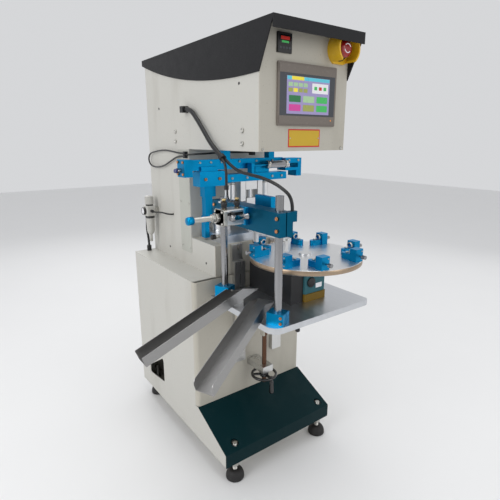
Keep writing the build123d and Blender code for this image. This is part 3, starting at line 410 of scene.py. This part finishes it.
inks = {
    "lavender": (0.30, 0.26, 0.47), "header": (0.10, 0.50, 0.62), "sun": (0.80, 0.66, 0.05),
    "glowingWhiteInk": (0.72, 0.72, 0.74),
    "paleGreen": (0.34, 0.52, 0.30), "olive": (0.30, 0.32, 0.08), "darkGreen": (0.02, 0.16, 0.05),
    "green": (0.05, 0.42, 0.10), "magenta": (0.55, 0.05, 0.28), "redInk": (0.60, 0.03, 0.02),
    "orange": (0.9, 0.30, 0.02),
    "plateYellow": (0.62, 0.40, 0.02), "glowingNavy": (0.02, 0.03, 0.16),
}
# every ink here but plateYellow and redInk also glows faintly; on the screen, the counter and the panel lamp
# that is their own light, on the stop arrows, the index label, the gauge face and the absorber cap it is
# painted light
for name, colour in inks.items():
    looks[name] = glow(name, colour, 0.0 if name in ("plateYellow", "redInk") else 0.25)
px, pz = panel["x"], panel["z"]
flat("panel_slate", roundedOutline(205, 150, 5, (px, pz)), "slate", 0.5)
for side in (-1, 1):
    flat(f"panel_band_{side + 1}", roundedOutline(211, 22, 3, (px, pz + side * 65)), "bezel", 1.2)
flat("panel_screen", roundedOutline(160, 96, 1, (px + 1, pz - 1)), "lavender", 0.9)
flat("panel_header", roundedOutline(158, 9, 0.6, (px + 1, pz + 42)), "header", 1.1)
flat("panel_header_mark", roundedOutline(44, 9, 0.6, (px - 40, pz + 42)), "sun", 1.3)
for column, (top, bottom) in enumerate((("paleGreen", "olive"), ("paleGreen", "sun"),
                                        ("paleGreen", "olive"), ("paleGreen", "olive"))):
    flat(f"key_top_{column}", roundedOutline(15, 10, 1, (px - 66 + column * 18, pz + 26)), top, 1.3)
    flat(f"key_low_{column}", roundedOutline(15, 10, 1, (px - 66 + column * 18, pz + 12)), bottom, 1.3)
flat("panel_count_field", roundedOutline(62, 26, 1, (px + 44, pz + 20)), "glowingWhiteInk", 1.2)
for column, ink in enumerate(("green", "redInk", "green")):
    flat(f"count_mark_{column}", roundedOutline(11, 9, 0.8, (px + 26 + column * 18, pz + 20)), ink, 1.5)
for column, (top, bottom) in enumerate((("darkGreen", "magenta"), ("paleGreen", "olive"),
                                        ("green", "green"))):
    flat(f"big_key_top_{column}", roundedOutline(42, 17, 2, (px - 50 + column * 51, pz - 10)), top, 1.4)
    flat(f"big_key_low_{column}", roundedOutline(42, 17, 2, (px - 50 + column * 51, pz - 33)), bottom, 1.4)
flat("panel_lamp", roundedOutline(4, 4, 1.9, (px + 90, pz - 64)), "orange", 1.5)

# counter
flat("counter_frame", roundedOutline(47, 47, 3, (-84, 1336)), "black", 0.8, -5.0)
flat("counter_window", roundedOutline(39, 20, 1.5, (-84, 1345)), "gloss", 0.5, -5.8)
flat("counter_digits", roundedOutline(30, 8, 0.6, (-84, 1347)), "redInk", 0.3, -6.3)
flat("counter_digits_low", roundedOutline(24, 5, 0.6, (-84, 1338)), "green", 0.3, -6.3)
for column in range(4):
    flat(f"counter_key_{column}", roundedOutline(7.5, 5, 1.5, (-99 + column * 10, 1324)), "slate", 1.0, -5.8)

# data plate
flat("plate_border", roundedOutline(121, 49, 2, (-2, 1099)), "redInk", 0.6, 0.0)
flat("plate_field", roundedOutline(114, 42, 1, (-2, 1099)), "plateYellow", 0.3, -0.6)
for x in (-56, 52):
    socketScrew(f"plate_rivet_{x}", (x, -0.9, 1099), (0, -1, 0), "zinc", "machine", 2.0, 1.2)

# emergency stop
stop = {"x": 118.0, "z": 1341.0, "radius": 23.5, "front": -37.0}
r = stop["radius"]
mushroom = [(0, -8), (9, -8), (9, -1), (r - 6, -1), (r - 1, 0.5), (r, 3.5), (r - 0.8, 7.5), (r - 4, 11.5),
            (r * 0.55, 13.4), (0, 14)]
turned("stop_mushroom", (stop["x"], stop["front"] + 14, stop["z"]), (0, -1, 0), mushroom, "red",
       "stop_button", 64,
       replaces=("stop_button",))


def arcBand(name, centre, front, inner, outer, start, sweep, thickness, look, body):
    # a curved flat bar on a face that looks to the front: two arcs joined
    angle = np.radians(np.linspace(start, start + sweep, 18))
    ring = np.column_stack((np.cos(angle), np.sin(angle)))
    outline = np.vstack((ring * outer, ring[::-1] * inner)) + centre
    return slab(name, outline, front - thickness, front, "y", look, body, 0.0)


# the white arrows glow faintly: painted light
for index in range(2):
    arcBand(f"stop_arrow_{index}", (stop["x"], stop["z"]), stop["front"] + 0.9, 10.5, 12.6,
            20 + index * 180, 120, 1.2, "glowingWhiteInk",
            "stop_button")
arcBand("stop_ring", (stop["x"], stop["z"]), -6.0, 27, 31, 0, 359.9, 0.6, "black", "machine")
print("panel done")

# screws on the head and panels
for index, (y, z) in enumerate(((75, 1119), (76, 1084), (481, 1121), (483, 1088))):
    for side in (-1, 1):
        socketScrew(f"head_bolt_{index}_{side + 1}", (side * 162, y, z), (side, 0, 0), "zinc", "machine",
                    6.5, 4)
for index, (y, z) in enumerate(((91, 1242), (610, 1204), (571, 690), (294, 687))):
    turned(f"side_plug_{index}", (-162, y, z), (-1, 0, 0), [(0, 0), (4, 0), (3.6, 0.8), (0, 0.8)], "black",
           "machine", 20)
for x in (-150, 150):
    socketScrew(f"front_screw_{x}", (x, 0, 1070), (0, -1, 0), "zinc", "machine", 4, 3)
for index, z in enumerate((720, 880, 1040)):
    for y in (400, 461):
        socketScrew(f"cover_screw_{index}_{y}", (-163.5, y, z), (-1, 0, 0), "zinc", "machine", 3, 2)
coverOutline = roundedOutline(78, 362, 9.5, (430.5, 881))
slab("access_cover_left", coverOutline, -163.7, -162.2, "x", "cover", "machine", 0.0004)
slab("access_cover_right", coverOutline, 162.2, 163.7, "x", "cover", "machine", 0.0004)

# index unit
unit = {"x": (-1.0, 89.0), "y": (-25.0, 79.0), "base": 608.0, "flange": 633.0, "top": 712.0}
ux, uy = sum(unit["x"]) / 2, sum(unit["y"]) / 2
slab("index_flange", roundedOutline(90, 104, 6, (ux, uy)), unit["base"], unit["flange"], "z", "ochre",
     "table",
     0.0012, ("index_unit",))
slab("index_case", roundedOutline(88, 100, 7, (ux - 1, uy)), unit["flange"], unit["top"], "z", "teal",
     "table", 0.002)
turned("index_cap", (24, -23, 670), (0, -1, 0), [(0, -1), (16, -1), (16, 3), (14.5, 5), (0, 5)], "black",
       "table", 40)
turned("index_sight", (60, -23, 690), (0, -1, 0), [(0, -1), (5, -1), (5, 2), (3, 3), (0, 3)], "brass",
       "table", 24)
# the white label glows faintly: painted light
slab("index_label", roundedOutline(26, 15, 1, (58, 655)), -23.6, -22.8, "y", "glowingWhiteInk", "table",
     0.0)
for sx in (-1, 1):
    for sy in (-1, 1):
        socketScrew(f"flange_bolt_{sx + 1}_{sy + 1}", (ux + sx * 38, uy + sy * 45, unit["flange"]),
                    (0, 0, 1), "zinc",
                    "table", 4, 4)
        socketScrew(f"case_bolt_{sx + 1}_{sy + 1}", (ux + sx * 36, uy + sy * 41, unit["top"]), (0, 0, 1),
                    "zinc",
                    "table", 4, 3)
turned("index_bearing", (ux, uy, unit["top"]), (0, 0, 1), [(0, 0), (36, 0), (36, 3), (33, 5), (0, 5)],
       "aluminium",
       "table", 56)

# disc, nests and their screws
disc = {"x": 44.0, "y": 27.0, "radius": 176.0, "low": 729.0, "high": 745.0}
edge = metal("disc edge", (0.50, 0.38, 0.27), 0.36, (1, 1, 0.1), 80, 0.06, 0.4)
looks["discEdge"] = edge
rim = [(20, disc["low"]), (disc["radius"] - 1, disc["low"]), (disc["radius"], disc["low"] + 1),
       (disc["radius"], disc["high"] - 1),
       (disc["radius"] - 1, disc["high"]), (20, disc["high"]), (20, disc["low"])]
discPiece = turned("disc_body", (disc["x"], disc["y"], 0), (0, 0, 1), rim, "aluminium", "index_disc", 160,
                   smooth=False, replaces=("index_disc",))
discPiece.data.materials.append(edge)
for face in discPiece.data.polygons:
    if abs(face.normal.z) < 0.5:
        face.material_index = 1
        face.use_smooth = True
fixture = {"reach": 156.0, "nest": 131.5, "nestZ": 770.0, "foot": 108.0, "footZ": 763.0, "spacing": 70.5}
for station in range(4):
    for side in (-1, 1):
        a = math.radians(90 * station)
        along, across = np.array((math.cos(a), math.sin(a))), np.array((-math.sin(a), math.cos(a)))
        tag = f"{station}_{side + 1}"

        def spot(out, sideways, z):
            flatPoint = np.array((disc["x"],
                                  disc["y"])) + along * out + across * (side * fixture["spacing"] + sideways)
            return (flatPoint[0], flatPoint[1], z)

        inward = (-along[0], -along[1], 0)
        outward = (along[0], along[1], 0)
        nest = [(0, 0), (10, 0), (10, 7), (9.4, 9), (6.5, 9), (6, 3), (0, 3)]
        turned(f"nest_ring_{tag}", spot(fixture["nest"], 0, fixture["nestZ"]), inward, nest, "nickel",
               "index_disc",
               32)
        socketScrew(f"foot_bolt_{tag}", spot(fixture["foot"], 0, fixture["footZ"]), (0, 0, 1), "zinc",
                    "index_disc", 4.5, 4)
        for height in (753, 776):
            socketScrew(f"body_bolt_{tag}_{height}", spot(fixture["reach"], 9, height), outward, "zinc",
                        "index_disc",
                        2.2, 1.5)
print("disc done")

# transfer cylinder
cylinder = {"y": 44.0, "z": 893.0, "left": -262.0, "right": -184.0}
cy, cz = cylinder["y"], cylinder["z"]
slab("cylinder_body", roundedOutline(46, 44, 4, (cy, cz)), cylinder["left"], cylinder["right"] - 0.2, "x",
     "aluminium", "table",
     0.0012, ("transfer_cylinder",))
slab("cylinder_end", roundedOutline(47, 45, 5, (cy, cz)), -262, -250, "x", "nickel", "table", 0.001)
slab("cylinder_mount", roundedOutline(56, 50, 3, (cy, cz)), -196, -184.2, "x", "blue", "table",
     0.001)
for sy in (-1, 1):
    for sz in (-1, 1):
        socketScrew(f"cylinder_bolt_{sy + 1}_{sz + 1}", (-262, cy + sy * 17, cz + sz * 16), (-1, 0, 0),
                    "zinc", "table", 3.6, 3.5)
hexagon = hexProfile(23)
slab("stop_nut_0", hexagon + (cy, cz), -275, -262, "x", "nickel", "table", 0.001)
slab("stop_nut_1", hexProfile(20) + (cy, cz), -286, -277, "x", "zinc", "table", 0.001)
turned("stop_tube", (-262, cy, cz), (-1, 0, 0), [(0, 0)] + [(7 - 0.5 * (k % 2),
        13 + k) for k in range(66)] + [(0, 79)], "nickel", "table",
       32, smooth=False)
knurl = [(0, 79), (9.5, 79), (11, 80.5), (11, 94), (10, 97), (7, 98), (0, 98)]
turned("stop_cap", (-262, cy, cz), (-1, 0, 0), knurl, "blue", "table", 32)
for index, x in enumerate((-246, -204)):
    body = [(0, 0), (8, 0), (8, 3), (6.5, 3.5), (6.5, 6), (8.5, 6.5), (8.5, 17), (7, 18.5), (5, 19),
            (5, 22), (6, 22.5), (6, 27), (3, 28), (0, 28)]
    turned(f"fitting_{index}", (x, cy, 915), (0, 0, 1), body[:8] + [(0, 18.5)], "black", "table", 28)
    turned(f"fitting_screw_{index}", (x, cy, 915), (0, 0, 1), [(0, 18)] + body[8:], "brass", "table", 24)
    turned(f"fitting_base_{index}", (x, cy, 913), (0, 0, 1), [(0, 0), (8.6, 0), (8.6, 3.5), (0, 3.5)],
           "brass", "table", 6)
    turned(f"fitting_port_{index}", (x, cy, 930), (0, 1, 0), [(0, 0), (5, 0), (5, 8), (4, 12), (0, 12)],
           "black", "table", 24)

turned("cylinder_tube", (-184.2, 15, cz), (-1, 0, 0), [(0, 0), (9, 0), (9, 8), (7.6, 9), (7.6, 46),
        (9.4, 47), (9.4, 58), (8, 60), (0, 60)],
       "chrome", "table", 40)
turned("cylinder_tube_port", (-236, 15, cz + 6), (0, 0, 1), [(0, 0), (5, 0), (5, 8), (4, 10), (0, 10)],
       "black", "table", 24)
slab("cylinder_slot", [(-250, 20.4), (-200, 20.4), (-200, 21.4), (-250, 21.4)], 899, 907, "z", "gloss",
     "table", 0.0)

# screws of the beam, the clamps and the lifter
for y in (-105, 196):
    socketScrew(f"beam_screw_high_{y}", (-184, y, 903), (-1, 0, 0), "copper", "table", 5.2, 4)
    socketScrew(f"beam_screw_low_{y}", (-184, y, 871), (-1, 0, 0), "copper", "table", 5.2, 4)
turnClamp = math.radians(25)
for index, y in enumerate((-88, 178)):
    normal = (-math.cos(turnClamp), -math.sin(turnClamp), 0)
    along = (math.sin(turnClamp), -math.cos(turnClamp), 0)
    for height in (617, 633):
        centre = (-162 + normal[0] * 20.5 + along[0] * 18, y + normal[1] * 20.5 + along[1] * 18, height)
        socketScrew(f"clamp_screw_{index}_{height}", centre, normal, "copper", "table", 4.2, 3.5)
for y in (36, 88):
    socketScrew(f"lifter_screw_{y}", (-84, y, 925), (1, 0, 0), "zinc", "transfer_carriage", 4, 3)
socketScrew("lifter_screw_front", (-100, 84, 885), (-1, 0, 0), "copper", "transfer_carriage", 4.5, 3)
for y in (-44, 44, 108):
    socketScrew(f"finger_screw_{y}", (-98, y, 825), (-1, 0, 0), "zinc", "finger_bar", 3, 2)
print("transfer unit done")

# printing mechanism details
turned("absorber", (-253, 275, 1003), (-1, 0, 0), [(0, -2)] + [(8 - 0.6 * (k % 2),
        k) for k in range(15)] + [(0, 14)], "black", "carriage",
       28, smooth=False)
# the navy cap glows faintly: painted light
turned("absorber_cap", (-267, 275, 1003), (-1, 0, 0), [(0, 0), (6, 0), (6.4, 1), (6.4, 6), (5, 8), (0, 8)],
       "glowingNavy", "carriage", 28)
turned("absorber_rod", (-225, 275, 1003), (1, 0, 0), [(0, 0), (5, 0), (5, 10), (7, 10), (7, 20), (0, 20)],
       "chrome", "carriage", 28)
for index, z in enumerate((992, 1028)):
    for y in (258, 292):
        socketScrew(f"end_block_screw_{index}_{y}", (-253, y, z), (-1, 0, 0), "copper", "carriage", 4.2, 4)
for x in (-190, -150, -110, -40, 30, 100):
    socketScrew(f"bar_screw_{x}", (x, 268, 1025), (0, -1, 0), "zinc", "carriage", 3.6, 3)
for x in (-180, -128):
    socketScrew(f"shuttle_screw_{x}", (x, 252, 974), (0, -1, 0), "copper", "shuttle", 5, 4)
for x in (-80, -20, 20, 88, 130):
    socketScrew(f"slab_screw_{x}", (x, 252, 972), (0, -1, 0), "zinc", "shuttle", 4, 3)
for x in (164, 208):
    socketScrew(f"yoke_screw_{x}", (x, 252, 1023), (0, -1, 0), "zinc", "carriage", 4, 3)
for x in (58, 136):
    turned(f"actuator_collar_{x}", (x, 246, 1012), (1, 0, 0), [(0, 0), (13.6, 0), (13.6, 11), (0, 11)],
           "nickel", "carriage", 40)
for x in (-70.5, 70.5):
    for z in (878, 950):
        turned(f"ram_collar_{x}_{z}", (x, 275, z), (0, 0, 1),
               [(5.5, 0), (15.4, 0), (15.4, 8), (5.5, 8), (5.5, 0)], "nickel", "shuttle", 40)
bedStop = {"x": -126.0, "y": 262.0, "z": 783.0, "cap": -143.5}
turned("bed_stop", (bedStop["x"], bedStop["y"], bedStop["z"]), (-1, 0, 0),
       [(0, 0), (6, 0), (6, 12), (7.5, 12.5), (7.5, 18), (0, 18)],
       "nickel", "machine", 32)
turned("bed_stop_cap", (bedStop["cap"], bedStop["y"], bedStop["z"]), (-1, 0, 0),
       [(0, 0), (8, 0), (8.4, 1), (8.4, 13), (7, 15),
        (0, 15)], "black", "machine", 32)
print("mechanism done")

# air regulator
reg = {"x": -195.0, "y": 675.0, "z": 821.0}
rx, ry, rz = reg["x"], reg["y"], reg["z"]
slab("regulator_body", roundedOutline(39, 39, 6, (rx, ry)), rz - 20, rz + 20, "z", "pale", "machine",
     0.002,
     ("air_regulator",))
slab("regulator_bracket", roundedOutline(30, 24, 2, (ry, rz)), -175.5, -162, "x", "zinc", "machine",
     0.0008)
turned("regulator_collar", (rx, ry, rz + 20), (0, 0, 1), [(0, 0), (15, 0), (15, 4), (13, 5), (0, 5)],
       "gloss", "machine", 40)
bowl = [(0, 0), (17, 0), (18, -3), (18, -9), (16.5, -11), (14.5, -62), (12, -72), (7, -76), (6, -79),
        (6, -105), (0, -106)]
turned("regulator_bowl", (rx, ry, rz - 20), (0, 0, 1), [(a, b) for a, b in bowl], "pale", "machine", 48)
turned("bowl_ring", (rx, ry, rz - 20), (0, 0, 1), [(16, -10), (18.6, -9), (18.6, -1), (16, 0)], "gloss",
       "machine", 48)
turned("gauge_case", (rx - 20, ry, rz), (-1, 0, 0), [(0, 0), (14.6, 0), (15, 1), (15, 9), (13.5, 10),
        (13, 8.5), (0, 8.5)], "gloss", "machine", 48)
# the white gauge face glows faintly: painted light
turned("gauge_face", (rx - 28.6, ry, rz), (-1, 0, 0), [(0, 0), (12.8, 0), (12.8, 0.5), (0, 0.5)],
       "glowingWhiteInk", "machine", 40)
turned("inlet_port", (rx, ry + 19, rz), (0, 1, 0), [(0, 0), (8, 0), (8, 21), (6, 23), (0, 23)], "black",
       "machine", 32)
turned("inlet_elbow", (rx, ry + 34, rz), (0, 0, -1), [(0, -7), (7, -7), (7, 12), (6.4, 14.8), (0, 14.8)],
       "black", "machine", 32)
turned("inlet_ring", (rx, ry + 34, rz - 12), (0, 0, -1), [(5, 0), (7.6, 0), (7.6, 2.5), (5, 2.5), (5, 0)],
       "blue", "machine", 32)
turned("outlet_port", (rx, ry - 19, rz), (0, -1, 0), [(0, 0), (6, 0), (6, 12), (5, 14.8), (0, 14.8)],
       "black", "machine", 32)
around = np.linspace(0, 2 * math.pi, 96, endpoint=False)
ribs = np.column_stack((np.cos(around), np.sin(around))) * (16.2 + 0.7 * np.sign(np.sin(around * 24)))[:,
        None] + (rx, ry)
slab("regulator_ribs", ribs, rz + 26, rz + 54, "z", "pale", "regulator_knob", 0.0,
     ("regulator_knob",))
turned("regulator_top", (rx, ry, rz + 53.5), (0, 0, 1), [(0, 0), (16.5, 0), (16, 3), (13, 4.5), (0, 4.5)],
       "pale", "regulator_knob", 48)
print("regulator done")

# handwheel, crank handle and screw thread
wheel = {"x": -20.0, "y": 150.0, "z": 285.0, "radius": 42.5, "tube": 5.0}


def torusPoints(major, minor, steps, ring):
    # a circle of the minor radius carried round the major one
    big = np.linspace(0, 2 * math.pi, steps, endpoint=False)[:, None]
    small = np.linspace(0, 2 * math.pi, ring, endpoint=False)[None, :]
    r = major + minor * np.cos(small)
    return np.stack((r * np.cos(big), r * np.sin(big), minor * np.sin(small) + 0 * big), -1).reshape(-1, 3)


points = torusPoints(wheel["radius"], wheel["tube"], 72, 20)
faces = gridFaces(73, 20, True) % (72 * 20)
points = (points + (wheel["x"], wheel["y"], wheel["z"])) / 1000 + (zeroX, zeroY, 0)
toMesh("wheel_rim", points, faces, "gloss", "handwheel", replaces=("handwheel",))
hub = [(9, -6), (15, -6), (16, -4), (16, 5), (14.5, 8), (12.4, 15.5), (9, 15.5), (9, -6)]
turned("wheel_hub", (wheel["x"], wheel["y"], wheel["z"]), (0, 0, 1), hub, "gloss", "handwheel", 48)
for index in range(3):
    a = math.radians(30 + 120 * index)
    direction = np.array((math.cos(a), math.sin(a)))
    side = np.array((-direction[1], direction[0]))
    outline = [direction * 13 + side * 6, direction * 40 + side * 3.4, direction * 40 - side * 3.4,
               direction * 13 - side * 6]
    slab(f"wheel_spoke_{index}", np.array(outline) + (wheel["x"], wheel["y"]), wheel["z"] - 3,
         wheel["z"] + 3, "z", "gloss", "handwheel",
         0.0015)
grip = [(0, -56), (6, -56), (8.4, -54), (9, -50), (8.6, -40), (6.6, -18), (6.2, -9), (4, -6.4), (3, -6),
        (3, 6), (6, 6.2), (6, 8), (0, 8)]
turned("crank_grip", (wheel["x"], wheel["y"] - 42.5, wheel["z"]), (0, 0, 1), grip, "gloss", "crank_handle",
       40,
       replaces=("crank_handle",))
thread = threadProfile(8.0, 256, 436, 4.0, 1.1)
turned("screw_thread", (wheel["x"], wheel["y"], 0), (0, 0, 1), thread, "brown", "table", 28,
       smooth=False)
turned("front_knob", (-107, -110, 590), (0, 0, -1), [(0, 0), (3, 0), (3, 5), (6, 6), (7, 9), (6.5, 13),
        (4, 15), (0, 15)], "black", "table", 28)
print("handwheel done")

# chute screws and panel trim
socketScrew("rear_chute_screw", (-168, 128, 640), (0, -1, 0), "zinc", "table", 3.6, 2.5)
turned("front_plug", (-83, 223, 415), (0, -1, 0), [(0, 0), (3.5, 0), (3, 0.7), (0, 0.7)], "black",
       "machine", 20)

# cords
cordRoutes = {
    "air_hose": (9.0, "cable", "medium", [
        (-195, 709, 806), (-195, 709, 776), (-199, 707, 739), (-197, 698, 702), (-197, 698, 674)]),
    "regulator_tube": (6.0, "cable", "medium", [
        (-195, 641, 821), (-195, 618, 821), (-194, 586, 826), (-190, 560, 827), (-184, 542, 825),
        (-174, 530, 823), (-161, 530, 823)]),
    "loom_trunk": (14.0, "cable", "stiff", [
        (-173, 382, 1190), (-173, 352, 1190), (-175, 308, 1160), (-177, 260, 1120),
        (-176, 214.553, 1075.904), (-176, 166, 1048)]),
    "loom_branch": (9.0, "cable", "medium", [
        (-171, 153.862, 1041.024), (-171, 124.383, 1024.082), (-170, 78, 1007), (-165, 24, 1002),
        (-156, -28, 994), (-143, -72, 976), (-130, -101, 950), (-130, -101, 918)]),
    "loom_drop": (8.0, "cable", "medium", [
        (-181, 153.862, 1041.024), (-181, 139.990, 1033.052), (-181, 133, 1014), (-181, 131, 990),
        (-181, 131, 966)]),
    "cylinder_tube_near": (4.5, "cable", "medium", [
        (-178, 131, 954), (-178, 131, 941), (-183, 118, 928), (-196, 93, 925), (-204, 71, 930),
        (-204, 56, 930)]),
    "cylinder_tube_far": (4.5, "whiteTube", "medium", [
        (-184, 131, 954), (-184, 131, 939), (-199, 112, 931), (-226, 92, 928), (-246, 74, 930),
        (-246, 56, 930)]),
    "spare_loop": (6.0, "cable", "medium", [
        (-171, 407, 1050), (-171, 450, 1050), (-172, 502, 1055), (-173, 556, 1058), (-173, 610, 1054),
        (-173, 650, 1049), (-173, 678, 1045), (-173, 697, 1036), (-173, 706, 1020), (-173, 698, 1005),
        (-173, 680, 996), (-172, 652, 992), (-172, 610, 994), (-171, 560, 1003), (-171, 508, 1022),
        (-171, 450, 1040), (-171, 407, 1040)]),
    "head_hose": (6.0, "cable", "medium", [
        (-171, 395, 1046), (-171, 378, 1046), (-157, 356, 1048), (-128, 343, 1049), (-82, 338, 1052),
        (-34, 326, 1053), (4, 316, 1052), (40, 316, 1052)]),
}
cordNodes = {"cylinder_tube_near": ("cylinder_tubes",), "cylinder_tube_far": ("cylinder_tubes",)}


def smoothLength(points):
    # length of the quadratic NURBS line that has these control points and meets its ends
    spans = len(points) - 2
    total, last = 0.0, None
    for step in range(spans * 24 + 1):
        t = min(step / 24, spans - 1e-9)
        k = int(t)
        u = t - k
        a, b, c = (np.array(points[k + i], float) for i in range(3))
        first = a if k == 0 else (a + b) / 2
        end = c if k == spans - 1 else (b + c) / 2
        spot = (1 - u) ** 2 * first + 2 * u * (1 - u) * b + u ** 2 * end
        if last is not None:
            total += float(np.linalg.norm(spot - last))
        last = spot
    return total / 1000


for name, (diameter, look, stiffness, route) in cordRoutes.items():
    curve = bpy.data.curves.new(name, "CURVE")
    curve.dimensions, curve.bevel_depth, curve.bevel_resolution = "3D", diameter / 2000, 5
    curve.use_fill_caps = True
    line = curve.splines.new("NURBS")
    line.points.add(len(route) - 1)
    for point, spotOnRoute in zip(line.points, route):
        point.co = (*place(*spotOnRoute), 1)
    line.order_u, line.resolution_u = 3, 12
    line.use_endpoint_u = True
    piece = bpy.data.objects.new(name + "_cord", curve)
    bpy.context.scene.collection.objects.link(piece)
    curve.materials.append(looks[look])
    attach(piece, "machine")
    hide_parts(*cordNodes.get(name, (name,)))
    place(*route[0])
    round(smoothLength(route), 4)
    diameter / 1000
print("cords done")

# floor, light and camera
floorMesh = bpy.data.meshes.new("floor")
floorMesh.from_pydata([(-9, -9, 0), (9, -9, 0), (9, 9, 0), (-9, 9, 0)], [], [(0, 1, 2, 3)])
floor = bpy.data.objects.new("floor", floorMesh)
bpy.context.scene.collection.objects.link(floor)
floorFinish = Finish("pale floor")
floorFinish.set(Base_Color=floorFinish.mix(floorFinish.noise(3, 4) * 0.5, (0.80, 0.80, 0.80),
                                           (0.84, 0.84, 0.84)), Roughness=0.6)
floorMesh.materials.append(floorFinish.material)

world = bpy.data.worlds.new("studio")
bpy.context.scene.world = world
world.use_nodes = True
world.node_tree.nodes["Background"].inputs[0].default_value = (0.93, 0.94, 0.96, 1)
world.node_tree.nodes["Background"].inputs[1].default_value = 0.72


def softLight(name, spotOn, target, size, power):
    data = bpy.data.lights.new(name, "AREA")
    data.shape, data.size, data.size_y, data.energy = "RECTANGLE", size[0], size[1], power
    lamp = bpy.data.objects.new(name, data)
    lamp.location = spotOn
    lamp.rotation_euler = (Vector(target) - Vector(spotOn)).to_track_quat("-Z", "Y").to_euler()
    bpy.context.scene.collection.objects.link(lamp)


softLight("key", (-3.0, -0.4, 2.0), (0, 0, 0.8), (1.2, 2.2), 34)
softLight("front fill", (1.2, -3.2, 1.7), (0, 0, 0.8), (1.0, 1.8), 14)
softLight("right fill", (3.2, 0.4, 1.8), (0, 0, 0.8), (1.2, 1.8), 8)
softLight("top", (0.1, -0.2, 3.4), (0, 0, 0.8), (2.0, 2.0), 26)
softLight("back fill", (0.4, 3.2, 2.2), (0, 0, 0.8), (1.4, 1.4), 14)
bpy.context.scene.view_settings.view_transform = "Standard"

view = {"at": (-851, -905, 1098), "lens": 30.28,
        "right": (0.808, -0.589, 0.0), "up": (0.151, 0.207, 0.966), "ahead": (0.569, 0.781, -0.256)}
cameraData = bpy.data.cameras.new("camera")
cameraData.lens, cameraData.sensor_width = view["lens"], 36
camera = bpy.data.objects.new("camera", cameraData)
ahead = Vector(view["ahead"]).normalized()
right = ahead.cross(Vector(view["up"])).normalized()
up = right.cross(ahead)
camera.matrix_world = Matrix.Translation(place(*view["at"])) @ Matrix((right, up,
        -ahead)).transposed().to_4x4()
bpy.context.scene.collection.objects.link(camera)
bpy.context.scene.camera = camera
